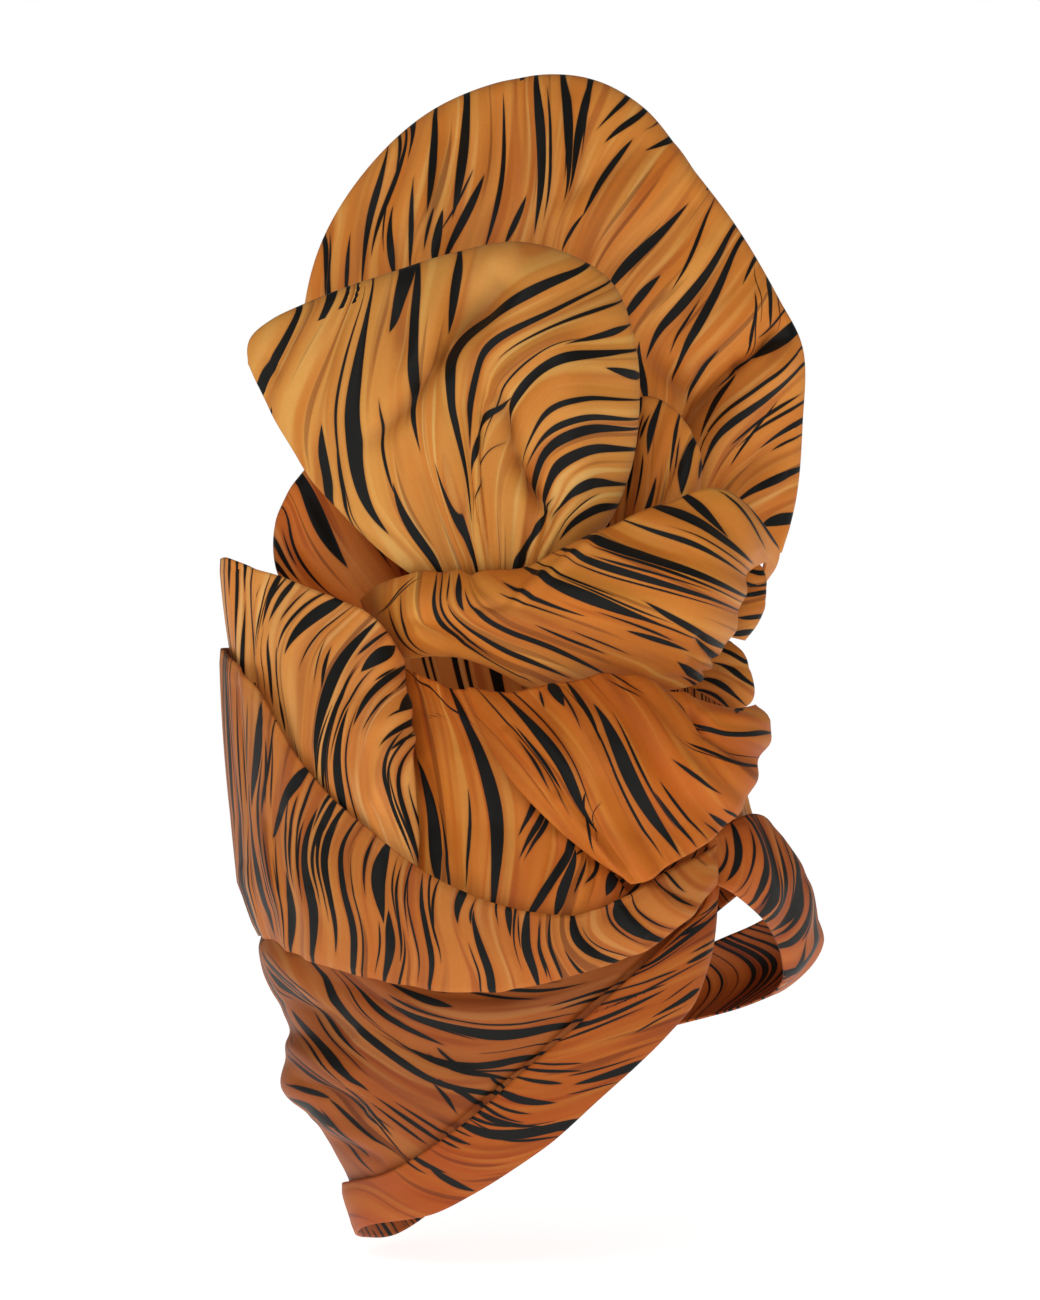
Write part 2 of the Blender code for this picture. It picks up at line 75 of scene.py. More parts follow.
# ----------------------------------------------------------------- tables ---
# A loop is doubled cloth: each rib runs from the knot up to the rim and back
# down behind. bow bends the rib sideways, front and back are its fullness.
LOOP_COLUMNS = ("knot_x", "knot_y", "knot_out", "rim_x", "rim_y", "rim_out", "bow", "front", "back")
BACK_LOOP = (
    (420, 606, -12, 345, 505, -24, 0, 5, 5),
    (425, 606, -12, 312, 420, -27, -6, 8, 8),
    (430, 606, -13, 304, 335, -28, -10, 13, 16),
    (436, 606, -13, 321, 250, -28, -14, 19, 24),
    (444, 606, -14, 363, 178, -28, -12, 23, 29),
    (456, 606, -14, 428, 116, -28, -6, 25, 32),
    (475, 606, -14, 503, 84, -28, 0, 25, 33),
    (500, 606, -14, 580, 79, -28, 8, 25, 33),
    (525, 606, -14, 640, 108, -28, 14, 25, 32),
    (550, 606, -14, 689, 168, -28, 16, 24, 31),
    (572, 606, -14, 736, 230, -28, 14, 22, 28),
    (592, 606, -14, 777, 300, -28, 10, 20, 24),
    (610, 606, -13, 801, 350, -28, 6, 16, 20),
    (630, 606, -13, 801, 425, -28, 2, 13, 16),
    (650, 606, -12, 795, 493, -27, 0, 10, 12),
    (668, 606, -12, 781, 552, -22, 0, 5, 5),
)
FRONT_LOOP = (
    (450, 600, 36, 249, 364, 31, 26, 5, 5),
    (456, 603, 38, 252, 340, 31, 16, 8, 6),
    (463, 605, 39, 272, 322, 31, 9, 13, 8),
    (470, 605, 40, 305, 306, 32, 4, 16, 9),
    (477, 605, 40, 345, 290, 33, 2, 18, 10),
    (484, 605, 40, 395, 274, 34, 0, 20, 11),
    (490, 605, 40, 455, 255, 35, 4, 22, 12),
    (496, 605, 40, 515, 244, 36, 10, 22, 12),
    (504, 602, 40, 572, 258, 36, 18, 22, 12),
    (513, 598, 40, 612, 287, 36, 26, 22, 12),
    (523, 592, 40, 632, 345, 36, 32, 20, 11),
    (535, 586, 40, 636, 405, 36, 30, 18, 10),
    (547, 580, 40, 630, 462, 36, 22, 14, 8),
    (558, 575, 40, 612, 512, 37, 12, 9, 6),
    (568, 570, 40, 590, 545, 38, 4, 5, 5),
)
SIDE_LOOP = (
    (398, 584, -4, 345, 448, -6, 0, 4, 4),
    (398, 588, -4, 318, 458, -6, 0, 6, 5),
    (399, 592, -4, 298, 480, -6, 2, 8, 6),
    (400, 597, -4, 282, 508, -6, 4, 9, 6),
    (401, 602, -4, 276, 538, -6, 4, 9, 6),
    (402, 608, -4, 279, 570, -6, 2, 8, 6),
    (404, 614, -4, 292, 598, -6, 0, 5, 5),
)
UPPER_TUCK = (
    (612, 560, 12, 620, 452, 12, 0, 4, 4),
    (617, 560, 12, 634, 405, 12, 0, 6, 5),
    (624, 560, 12, 655, 399, 12, 0, 8, 6),
    (631, 560, 12, 678, 417, 12, 0, 9, 6),
    (640, 558, 12, 693, 440, 12, 0, 9, 6),
    (650, 555, 12, 699, 470, 12, 0, 7, 5),
    (660, 552, 12, 694, 500, 12, 0, 4, 4),
)
SIDE_TUCK = (
    (716, 604, 8, 742, 568, 7, 0, 4, 4),
    (716, 608, 8, 757, 574, 7, 0, 5, 4),
    (716, 614, 8, 765, 592, 7, 0, 6, 5),
    (716, 623, 8, 761, 613, 7, 0, 5, 4),
    (716, 634, 8, 744, 640, 7, 0, 4, 4),
)
LOWER_TUCK = (
    (690, 640, 10, 730, 641, 10, 0, 4, 4),
    (688, 650, 10, 743, 655, 10, 0, 6, 5),
    (686, 660, 10, 750, 677, 10, 0, 7, 6),
    (686, 672, 10, 750, 699, 10, 0, 6, 5),
    (690, 686, 10, 733, 712, 10, 0, 4, 4),
)
LOOPS = {  # table, gap at the knot, ribs across, points along a rib
    "back_loop": (BACK_LOOP, 7, 24, 17),
    "front_loop": (FRONT_LOOP, 6, 23, 17),
    "side_loop": (SIDE_LOOP, 4, 9, 11),
    "upper_tuck": (UPPER_TUCK, 4, 8, 11),
    "side_tuck": (SIDE_TUCK, 4, 6, 9),
    "lower_tuck": (LOWER_TUCK, 4, 6, 9),
}

# The wrap round the foot of the loops: one rib from its top to its lower edge.
FLAP_COLUMNS = ("x1", "y1", "out1", "x2", "y2", "out2", "bow", "belly")
KNOT_WRAP = (
    (362, 600, 11, 368, 614, 11, 0, 2),
    (372, 589, 23, 378, 628, 21, 0, 4),
    (387, 581, 38, 390, 645, 30, -6, 6),
    (410, 576, 49, 408, 657, 39, -4, 9),
    (442, 572, 55, 440, 656, 46, 0, 12),
    (478, 573, 56, 480, 664, 48, 0, 13),
    (515, 570, 56, 520, 684, 48, 0, 14),
    (558, 552, 56, 560, 694, 48, 0, 14),
    (605, 528, 55, 610, 694, 47, 0, 15),
    (652, 509, 51, 660, 690, 45, 0, 15),
    (700, 490, 44, 700, 682, 40, 0, 15),
    (738, 500, 32, 730, 635, 30, 0, 10),
    (764, 525, 19, 746, 575, 19, 0, 4),
    (779, 549, 3, 764, 562, 3, 0, 1),
    (769, 573, -16, 750, 602, -16, 0, -1),
    (746, 584, -30, 734, 628, -30, 0, -3),
    (700, 582, -38, 696, 642, -38, 0, -5),
    (620, 572, -42, 620, 648, -42, 0, -7),
    (530, 576, -42, 530, 650, -42, 0, -7),
    (455, 580, -38, 455, 646, -38, 0, -6),
    (408, 586, -30, 410, 636, -30, 0, -4),
    (386, 594, -21, 388, 624, -21, 0, -2),
)

# Cloth round the head: one rib from its first to its second edge. 'at' is the
# drawing's x on the seen side, or degrees round the head from the eye, which
# grow to the right. bow is in degrees and belly in mm.
RING_COLUMNS = ("at1", "y1", "lift1", "at2", "y2", "lift2", "bow", "belly")
SIDE_PLEAT_SEEN = (
    (405, 661, -16, 416, 905, 7.5, 4, 4),
    (392, 640, -10, 392, 890, 7.5, 2, 5),
    (372, 616, -6, 362, 870, 7.5, 0, 5),
    (345, 602, -4, 330, 842, 7, -1, 5),
    (312, 589, 0, 300, 815, 6.5, -1, 5),
    (280, 576, 4, 274, 790, 6, -1, 4),
    (250, 567, 10, 255, 760, 6, 0, 4),
)
SIDE_PLEAT_HIDDEN = (
    (-84, 558, 15.5, -84, 740, 6, 0, 2),
    (-100, 565, 15, -100, 725, 6, 0, 2),
    (-120, 575, 13, -120, 722, 6, 0, 1),
    (-145, 592, 12, -145, 725, 5, 0, 2),
    (-170, 602, 11, -170, 735, 5, 0, 3),
    (-195, 616, 9, -195, 755, 5, 0, 4),
    (-220, 638, 6, -220, 785, 4.5, 0, 3),
    (-240, 664, 3, -240, 815, 4, 0, 1),
    (-256, 692, 0, -256, 832, 3.5, 0, -1),
    (-271, 712, -1, -271, 838, 3.5, 0, -3),
    (-286, 724, -1, -286, 838, 3.5, 0, -3),
    (-300, 735, 0, -300, 836, 3.5, 0, -1),
)
CENTRE_PLEAT_SEEN = (
    (404, 668, -25, 404, 900, 4.8, 0, 2),
    (416, 674, -24, 436, 912, 4.8, 1, 3),
    (430, 682, -23, 468, 920, 4.8, 2, 5),
    (446, 688, -23, 498, 928, 4.8, 2, 6),
    (462, 690, -23, 528, 934, 4.8, 2, 6),
    (476, 694, -23, 558, 933, 5, 2, 6),
    (490, 702, -22, 586, 925, 5.5, 2, 5),
    (505, 715, -20, 610, 908, 6, 1, 4),
    (520, 735, -17, 628, 892, 6, 0, 3),
)
CROSS_PLEAT_SEEN = (
    (468, 690, -16, 631, 884, 14, -3, 4),
    (505, 691, -15, 650, 880, 15, -2, 7),
    (540, 689, -14, 668, 866, 16, -1, 9),
    (570, 682, -12, 692, 852, 16, 0, 10),
    (600, 675, -10, 715, 836, 16, 0, 10),
    (630, 676, -7, 738, 812, 15, 0, 9),
    (655, 685, -4, 751, 785, 13, 0, 8),
    (676, 693, -2, 762, 757, 10, 0, 7),
    (690, 701, 0, 768, 735, 8, 0, 5),
    (699, 708, 2, 765, 718, 7, 0, 4),
    (708, 712, 3, 754, 705, 6, 0, 2),
)
FRONT_BAND_SEEN = (
    (716, 845, 10, 716, 885, 10, 0, 0.5),
    (698, 856, 10.5, 692, 914, 10.5, 0, 1),
    (672, 868, 10.5, 656, 944, 10.5, 0, 1.5),
    (648, 882, 10.5, 622, 960, 10.5, 0, 2),
    (618, 902, 10.5, 590, 970, 10.5, 0, 2),
    (582, 914, 10.5, 560, 979, 10.5, 0, 2),
    (545, 914, 10.5, 530, 986, 10.5, 0, 2),
    (500, 905, 10.5, 490, 992, 10.5, 0, 2),
    (455, 888, 10.5, 445, 991, 10, 0, 2),
    (410, 862, 10.5, 400, 984, 9.5, 0, 2),
    (370, 830, 11, 358, 975, 9, 0, 2),
    (328, 794, 12, 318, 963, 8, 0, 2),
    (293, 750, 13, 288, 950, 7, 0, 2),
)
FRONT_BAND_HIDDEN = (
    (-62, 708, 14.5, -65, 942, 6.5, 0, 2),
    (-74, 672, 15, -75, 938, 6, 0, 2),
    (-86, 654, 15.5, -86, 935, 6, 0, 2),
    (-100, 648, 16, -100, 932, 6, 0, 2),
    (-120, 650, 15.5, -120, 930, 7, 0, 2),
    (-145, 656, 15, -145, 922, 8, 0, 2),
    (-170, 668, 14.5, -170, 915, 8, 0, 2),
    (-195, 690, 14.5, -195, 905, 8, 0, 2),
    (-218, 730, 12, -218, 898, 8, 0, 1),
    (-240, 782, 9, -240, 894, 7.5, 0, 0),
    (-256, 812, 7.5, -256, 892, 7, 0, 0),
    (-270, 824, 7, -270, 890, 7, 0, 0),
    (-284, 824, 7, -284, 882, 7, 0, 0),
    (-298, 820, 7, -298, 864, 7, 0, 0),
)
FAR_ROLL_HIDDEN = (
    (44, 836, 7, 44, 884, 6.5, 0, 0),
    (50, 824, 8, 50, 898, 5.5, 0, 2),
    (57, 814, 9.5, 57, 915, 5, 0, 4),
    (64, 818, 10, 64, 932, 4.5, 0, 6),
    (71, 834, 10, 71, 952, 4.5, 0, 7),
    (78, 855, 10, 78, 974, 4.5, 0, 9),
    (85, 878, 10, 86, 990, 4.5, 0, 12),
    (92, 900, 10, 94, 998, 4.5, 0, 14),
    (99, 914, 9.5, 102, 1004, 5, 0, 13),
    (108, 926, 9, 112, 1010, 7, 0, 11),
    (119, 938, 9, 124, 1018, 8, 0, 8),
    (131, 954, 9, 137, 1028, 8, 0, 5),
    (144, 975, 9, 150, 1038, 8, 0, 2),
    (156, 1004, 8.5, 161, 1048, 8, 0, 1),
)
CAP_SEEN = (
    (700, 868, 2.5, 700, 908, 0.8, 0, 0),
    (672, 885, 2.5, 672, 936, 0.8, 0, 0),
    (640, 900, 2.5, 636, 971, 0.8, 0, 0),
    (600, 930, 2, 598, 1006, 0.8, 0, 0),
    (560, 942, 2, 556, 1043, 0.8, 0, 0.5),
    (520, 942, 2, 515, 1078, 0.8, 0, 1),
    (480, 936, 2, 476, 1113, 0.8, 0, 1),
    (440, 925, 2, 440, 1141, 0.8, 0, 1),
    (400, 910, 2, 408, 1162, 0.8, 0, 1),
    (360, 895, 2, 380, 1176, 0.8, 0, 1),
)
CAP_HIDDEN = (
    (-58, 880, 2, -64, 1186, 0.8, 0, 1),
    (-76, 870, 2, -78, 1192, 0.8, 0, 1),
    (-95, 865, 2, -95, 1196, 0.8, 0, 1),
    (-120, 860, 2, -120, 1192, 0.8, 0, 1),
    (-145, 855, 2, -142, 1166, 0.8, 0, 1),
    (-165, 850, 2, -160, 1121, 0.8, 0, 1),
    (-185, 846, 2, -178, 1066, 0.8, 0, 1),
    (-203, 842, 2, -196, 1006, 0.8, 0, 1),
    (-220, 838, 2.5, -213, 951, 0.8, 0, 0),
    (-236, 844, 2, -230, 908, 0.8, 0, 0),
    (-254, 846, 1.5, -249, 874, 0.8, 0, 0),
    (-272, 844, 1.5, -268, 858, 0.8, 0, 0),
)
HEM_SEEN = (
    (714, 852, 4.2, 723, 856, 3, 0, 0),
    (703, 905, 4.2, 717, 902, 2.5, 0, 0),
    (675, 934, 4.2, 711, 955, 2.5, 0, 0.5),
    (639, 969, 4.2, 694, 1002, 2.5, 0, 0.5),
    (601, 1004, 4.2, 668, 1034, 2.5, 0, 0.5),
    (559, 1041, 4.2, 636, 1066, 2.5, 0, 0.5),
    (518, 1076, 4.2, 598, 1100, 2.5, 0, 0.5),
    (479, 1111, 4.2, 558, 1137, 2.5, 0, 0.5),
    (443, 1139, 4.2, 518, 1166, 2.5, 0, 0.5),
    (411, 1160, 4.2, 475, 1193, 2.5, 0, 0.5),
    (384, 1174, 4.2, 435, 1213, 3, 0, 0.5),
)
HEM_HIDDEN = (
    (-63, 1182, 4.2, -50, 1225, 3, 0, 0.5),
    (-78, 1184, 4.2, -70, 1233, 3, 0, 0.5),
    (-95, 1186, 4.6, -93, 1237, 3, 0, 0.5),
    (-120, 1182, 5.2, -120, 1234, 3, 0, 0.5),
    (-143, 1156, 5.4, -147, 1207, 3, 0, 0.5),
    (-161, 1111, 5.2, -168, 1160, 3, 0, 0.5),
    (-179, 1056, 5.0, -188, 1100, 3, 0, 0.5),
    (-197, 996, 4.8, -206, 1035, 2.5, 0, 0.5),
    (-214, 941, 4.6, -223, 975, 2.5, 0, 0.5),
    (-231, 898, 4.4, -238, 926, 2.5, 0, 0.5),
    (-250, 870, 4.4, -255, 892, 2.5, 0, 0.5),
    (-269, 853, 4.4, -272, 872, 2.5, 0, 0.5),
    (-286, 842, 4.4, -288, 860, 2.5, 0, 0.5),
    (-300, 838, 4.4, -300, 852, 2.5, 0, 0.3),
)
RINGS = {  # seen rows, hidden rows, wall, ribs across, points along a rib
    "side_pleat": (SIDE_PLEAT_SEEN, SIDE_PLEAT_HIDDEN, CLOTH, 31, 6),
    "centre_pleat": (CENTRE_PLEAT_SEEN, (), CLOTH, 9, 8),
    "cross_pleat": (CROSS_PLEAT_SEEN, (), CLOTH, 11, 8),
    "front_band": (FRONT_BAND_SEEN, FRONT_BAND_HIDDEN, CLOTH, 38, 5),
    "far_roll": ((), FAR_ROLL_HIDDEN, CLOTH, 22, 7),
    "cap": (CAP_SEEN, CAP_HIDDEN, CLOTH, 36, 7),
    "hem": (HEM_SEEN, HEM_HIDDEN, HEM, 40, 3),
}

FOLD_COLUMNS = ("x", "y", "half_x", "half_y", "rise")
FOLDS = {  # soft swells and dents: drawn place, reach each way, mm of rise outward
    "cap": ((292, 1082, 60, 26, 8), (268, 965, 50, 34, 4), (300, 1030, 60, 16, -1)),
    "back_loop": ((700, 420, 70, 60, -6), (560, 190, 70, 70, 4), (420, 260, 40, 90, 3)),
    "front_loop": ((480, 420, 20, 80, -5), (420, 400, 40, 90, 4), (570, 380, 50, 60, 4)),
    "side_pleat": ((350, 740, 40, 60, 3),),
    "cross_pleat": ((620, 770, 60, 40, 3),),
    "knot_wrap": ((620, 600, 80, 30, 3), (420, 610, 14, 30, 3)),
}

# --------------------------------------------------------------- geometry ---
_HEIGHT, _FRONT, _BACK, _WIDTH = (np.array(c, float)[::-1] for c in zip(*HEAD))


def head_radius(degrees, height_mm):
    """Distance in mm from the axis to the wrap's bed at an angle from the eye."""
    z = np.minimum(height_mm, STRAIGHT_MM)
    turn = np.radians(degrees) - FACE
    c, s = np.cos(turn), np.sin(turn)
    along = np.where(c > 0, np.interp(z, _HEIGHT, _FRONT), np.interp(z, _HEIGHT, _BACK))
    return 1.0 / np.sqrt((c / along) ** 2 + (s / np.interp(z, _HEIGHT, _WIDTH)) ** 2)


def from_chart(x, y, out_mm):
    """(across, up, out) in metres of a drawn point that stands out_mm forward."""
    near = 1.0 - np.asarray(out_mm) / 1000.0 / EYE_DISTANCE
    across = GRID * ((EYE_X - AXIS_X) + (np.asarray(x, float) - EYE_X) * near)
    up = -GRID * ((EYE_Y - CROWN_Y) + (np.asarray(y, float) - EYE_Y) * near)
    return across, up, np.asarray(out_mm, float) / 1000.0


def chart_x(across, out):
    return EYE_X + (across / GRID - (EYE_X - AXIS_X)) / (1.0 - out / EYE_DISTANCE)


def ring_point(degrees, y, lift):
    """(across, up, out) of a drawn height y, lift mm off the head, at an angle."""
    degrees, y, lift = np.broadcast_arrays(
        np.asarray(degrees, float), np.asarray(y, float), np.asarray(lift, float)
    )
    out = np.zeros(degrees.shape)
    for _ in range(4):
        near = 1.0 - out / EYE_DISTANCE
        up = -GRID * ((EYE_Y - CROWN_Y) + (y - EYE_Y) * near)
        radius = (head_radius(degrees, up * 1000.0) + lift) / 1000.0
        out = radius * np.cos(np.radians(degrees))
    return radius * np.sin(np.radians(degrees)), up, out


def angle_at(x, y, lift):
    """The angle round the head at which a drawn point on its seen side lies."""
    angles = np.linspace(-88.0, 88.0, 353)
    across, _, out = ring_point(angles, y, lift)
    drawn = chart_x(across, out)
    low, high = int(np.argmin(drawn)), int(np.argmax(drawn))
    return float(np.interp(x, drawn[low : high + 1], angles[low : high + 1]))


def to_world(rib):
    """Turns (across, up, out) into x, y, z with the wearer facing -Y."""
    across, up, out = np.moveaxis(np.asarray(rib, float), -1, 0)
    c, s = math.cos(FACE), math.sin(FACE)
    return np.stack([across * c - out * s, -across * s - out * c, up], -1)


def loop_rib(row, gap, count):
    knot_x, knot_y, knot_out, rim_x, rim_y, rim_out, bow, front, back = row
    turn = np.linspace(0.0, math.pi, count)
    t, c = np.sin(turn), np.cos(turn)
    dx, dy = rim_x - knot_x, rim_y - knot_y
    span = math.hypot(dx, dy)
    bend = bow * 4 * t * (1 - t) / span
    full = gap + (np.where(c > 0, front, back) - gap) * np.sin(np.pi * t / 2)
    out = knot_out + (rim_out - knot_out) * t + c * full
    return np.stack(from_chart(knot_x + dx * t + dy * bend, knot_y + dy * t - dx * bend, out), -1)


def flap_rib(row, count):
    x1, y1, out1, x2, y2, out2, bow, belly = row
    t = np.linspace(0.0, 1.0, count)
    arch = 4 * t * (1 - t)
    dx, dy = x2 - x1, y2 - y1
    bend = bow * arch / max(math.hypot(dx, dy), 1e-6)
    out = out1 + (out2 - out1) * t + belly * arch
    return np.stack(from_chart(x1 + dx * t + dy * bend, y1 + dy * t - dx * bend, out), -1)


def ring_rib(row, count, seen):
    at1, y1, lift1, at2, y2, lift2, bow, belly = row
    if seen:
        at1, at2 = angle_at(at1, y1, lift1), angle_at(at2, y2, lift2)
    t = np.linspace(0.0, 1.0, count)
    arch = 4 * t * (1 - t)
    return np.stack(
        ring_point(at1 + (at2 - at1) * t + bow * arch, y1 + (y2 - y1) * t, lift1 + (lift2 - lift1) * t + belly * arch),
        -1,
    )


def skin(ribs, count):
    """A smooth surface through the ribs, as (count, points, 3)."""
    ribs = np.asarray(ribs, float)
    step = np.linalg.norm(ribs[1:] - ribs[:-1], axis=2).mean(1)
    knots = np.concatenate([[0.0], np.cumsum(np.sqrt(step))])
    h = np.diff(knots)[:, None, None]
    slope = np.diff(ribs, axis=0) / h
    tangent = np.empty_like(ribs)
    tangent[0], tangent[-1] = slope[0], slope[-1]
    tangent[1:-1] = (slope[:-1] * h[1:] + slope[1:] * h[:-1]) / (h[:-1] + h[1:])
    x = np.linspace(0.0, knots[-1], count)
    i = np.clip(np.searchsorted(knots, x, side="right") - 1, 0, len(knots) - 2)
    hh = h[i]
    u = ((x - knots[i]) / np.diff(knots)[i])[:, None, None]
    return (
        (2 * u**3 - 3 * u**2 + 1) * ribs[i]
        + (u**3 - 2 * u**2 + u) * hh * tangent[i]
        + (3 * u**2 - 2 * u**3) * ribs[i + 1]
        + (u**3 - u**2) * hh * tangent[i + 1]
    )


def chart_y(up, out):
    return EYE_Y + (-up / GRID - (EYE_Y - CROWN_Y)) / (1.0 - out / EYE_DISTANCE)


def fold(surface, rows):
    """Swells or dents the seen side of a surface along its own normal."""
    across, up, out = np.moveaxis(surface, -1, 0)
    x, y = chart_x(across, out), chart_y(up, out)
    normal = np.cross(np.gradient(surface, axis=0), np.gradient(surface, axis=1))
    normal /= np.linalg.norm(normal, axis=-1, keepdims=True) + 1e-12
    rise = np.zeros(x.shape)
    for fx, fy, half_x, half_y, mm in rows:
        rise += mm / 1000.0 * np.exp(-(((x - fx) / half_x) ** 2 + ((y - fy) / half_y) ** 2))
    away = out - out.mean() if np.ptp(out) < 0.12 else out
    seen = np.clip(away / 0.012 + 0.9, 0.0, 1.0)
    turn = np.sign((normal * surface).sum(-1).mean()) or 1.0
    return surface + normal * (rise * seen * turn)[..., None]

# ----------------------------------------------------------------- looks ---
# Fine detail of each piece's cloth.  A fold is a straight ridge or valley on
# the drawing: reach is its half width in squares, rise its height in mm.
# A valley (rise below nought) is also painted darker in the colour: painted shade in the crease.
CREASE_COLUMNS = ("x1", "y1", "x2", "y2", "reach", "rise")
CREASES = {
    "front_loop": (
        (500, 285, 446, 352, 17, -8.5),
        (446, 352, 400, 412, 13, -4.7),
        (400, 412, 372, 440, 12, -2.7),
        (498, 400, 516, 462, 13, -5.4),
        (516, 462, 548, 512, 10, -6.1),
        (470, 330, 486, 400, 22, 2.0),
        (455, 430, 470, 560, 16, 2.7),
        (505, 500, 500, 570, 12, 2.4),
        (425, 480, 448, 570, 14, -2.0),
        (395, 300, 405, 360, 13, -1.9),
        (560, 360, 575, 500, 26, 4.1),
        (262, 352, 276, 372, 7, -2.7),
        (300, 470, 400, 552, 9, 1.6),
    ),
    "back_loop": (
        (806, 316, 742, 366, 10, -9.0),
        (742, 366, 688, 428, 12, -9.5),
        (688, 428, 660, 470, 14, -6.0),
        (740, 384, 672, 470, 34, -1.8),
        (800, 350, 745, 398, 15, 4.5),
        (745, 398, 705, 448, 15, 4.0),
        (690, 160, 560, 262, 30, 4.5),
        (640, 150, 560, 205, 12, -2.4),
        (690, 210, 600, 285, 13, -2.6),
        (560, 110, 555, 220, 16, 1.8),
        (585, 120, 572, 200, 9, -1.8),
        (500, 110, 470, 240, 14, -2.0),
        (430, 120, 395, 260, 14, 1.8),
        (450, 140, 425, 250, 9, -1.6),
        (360, 200, 352, 290, 12, -1.4),
        (742, 235, 680, 330, 12, -3.0),
        (765, 285, 720, 350, 12, 3.2),
        (700, 250, 640, 310, 14, 2.4),
        (650, 360, 690, 400, 14, -4.5),
        (790, 430, 720, 500, 11, -2.6),
        (795, 470, 740, 520, 12, 2.2),
        (770, 340, 728, 362, 8, 2.4),
    ),
    "side_loop": (
        (300, 480, 345, 560, 9, -1.6),
        (285, 520, 330, 585, 9, 1.6),
    ),
    "knot_wrap": (
        (545, 577, 512, 607, 5, 2.2),
        (605, 535, 545, 577, 5, 1.6),
        (512, 607, 470, 608, 6, -1.6),
        (415, 625, 450, 640, 7, -2.2),
        (470, 640, 520, 668, 7, 1.6),
        (450, 655, 510, 684, 6, -1.6),
        (690, 660, 730, 690, 5, -3.0),
        (700, 640, 722, 668, 5, -3.2),
        (655, 670, 700, 668, 6, 2.0),
        (722, 500, 752, 545, 9, 2.2),
        (640, 560, 740, 610, 12, 1.2),
        (600, 610, 690, 650, 10, -1.4),
    ),
    "side_pleat": (
        (240, 570, 262, 720, 8, -1.2),
        (300, 585, 262, 660, 10, 1.4),
        (400, 668, 352, 700, 8, -1.4),
        (412, 700, 368, 735, 9, 1.8),
        (420, 735, 392, 752, 9, 3.0),
        (392, 752, 378, 800, 10, 2.7),
        (410, 790, 430, 860, 8, -1.6),
        (330, 640, 312, 740, 12, 1.4),
    ),
    "centre_pleat": (
        (404, 670, 440, 690, 6, 2.0),
        (440, 690, 462, 720, 7, 1.6),
        (428, 770, 445, 850, 9, -2.0),
        (462, 760, 470, 860, 12, 1.9),
        (500, 780, 510, 860, 12, -1.1),
        (560, 850, 540, 900, 8, -1.9),
        (590, 870, 575, 905, 7, 2.2),
    ),
    "cross_pleat": (
        (556, 690, 600, 760, 13, 2.2),
        (540, 700, 585, 790, 9, -2.2),
        (600, 740, 640, 830, 13, -2.2),
        (640, 700, 690, 780, 14, 2.4),
        (690, 712, 706, 735, 5, -3.2),
        (706, 716, 762, 722, 6, 1.9),
        (700, 735, 750, 760, 9, -1.6),
        (690, 770, 730, 805, 9, 1.6),
        (510, 735, 560, 800, 5, 2.7),
        (560, 800, 620, 872, 6, 3.0),
    ),
    "front_band": (
        (240, 690, 244, 860, 8, -1.1),
        (268, 730, 270, 900, 8, 0.9),
        (380, 855, 386, 975, 7, -0.9),
        (440, 885, 436, 980, 8, 0.8),
        (575, 915, 600, 955, 7, -1.6),
        (612, 905, 640, 935, 6, 1.9),
        (590, 908, 624, 898, 5, 2.4),
        (650, 880, 690, 900, 5, -1.9),
        (300, 800, 318, 950, 9, 0.8),
        (500, 920, 520, 975, 8, -0.8),
    ),
    "far_roll": (
        (745, 830, 775, 900, 9, 1.6),
        (800, 880, 775, 950, 9, -1.4),
        (815, 940, 775, 985, 8, 1.9),
    ),
    "cap": (
        (262, 945, 330, 1000, 9, 2.2),
        (290, 1000, 350, 1030, 9, -2.7),
        (292, 1045, 352, 1075, 10, 3.0),
        (300, 1080, 362, 1108, 8, -3.0),
        (320, 1112, 372, 1140, 8, 2.2),
        (340, 1140, 380, 1160, 6, -1.9),
        (330, 975, 400, 1010, 10, -1.9),
        (400, 1000, 520, 1015, 13, 1.6),
        (420, 1050, 500, 1075, 10, -1.4),
        (690, 915, 624, 975, 4, -1.2),
        (624, 975, 539, 1053, 4, -1.2),
        (539, 1053, 444, 1133, 4, -1.2),
    ),
    "hem": (
        (700, 905, 640, 975, 8, 0.5),
        (640, 975, 520, 1085, 8, 0.5),
    ),
    "upper_tuck": (
        (640, 410, 632, 470, 6, -2.2),
        (672, 415, 655, 480, 6, 2.2),
        (690, 440, 665, 500, 5, -2.2),
    ),
    "side_tuck": ((735, 585, 765, 588, 4, -1.1), (735, 612, 762, 606, 4, 1.1)),
    "lower_tuck": ((700, 662, 748, 668, 4, -1.4), (700, 680, 745, 690, 4, 1.4)),
}

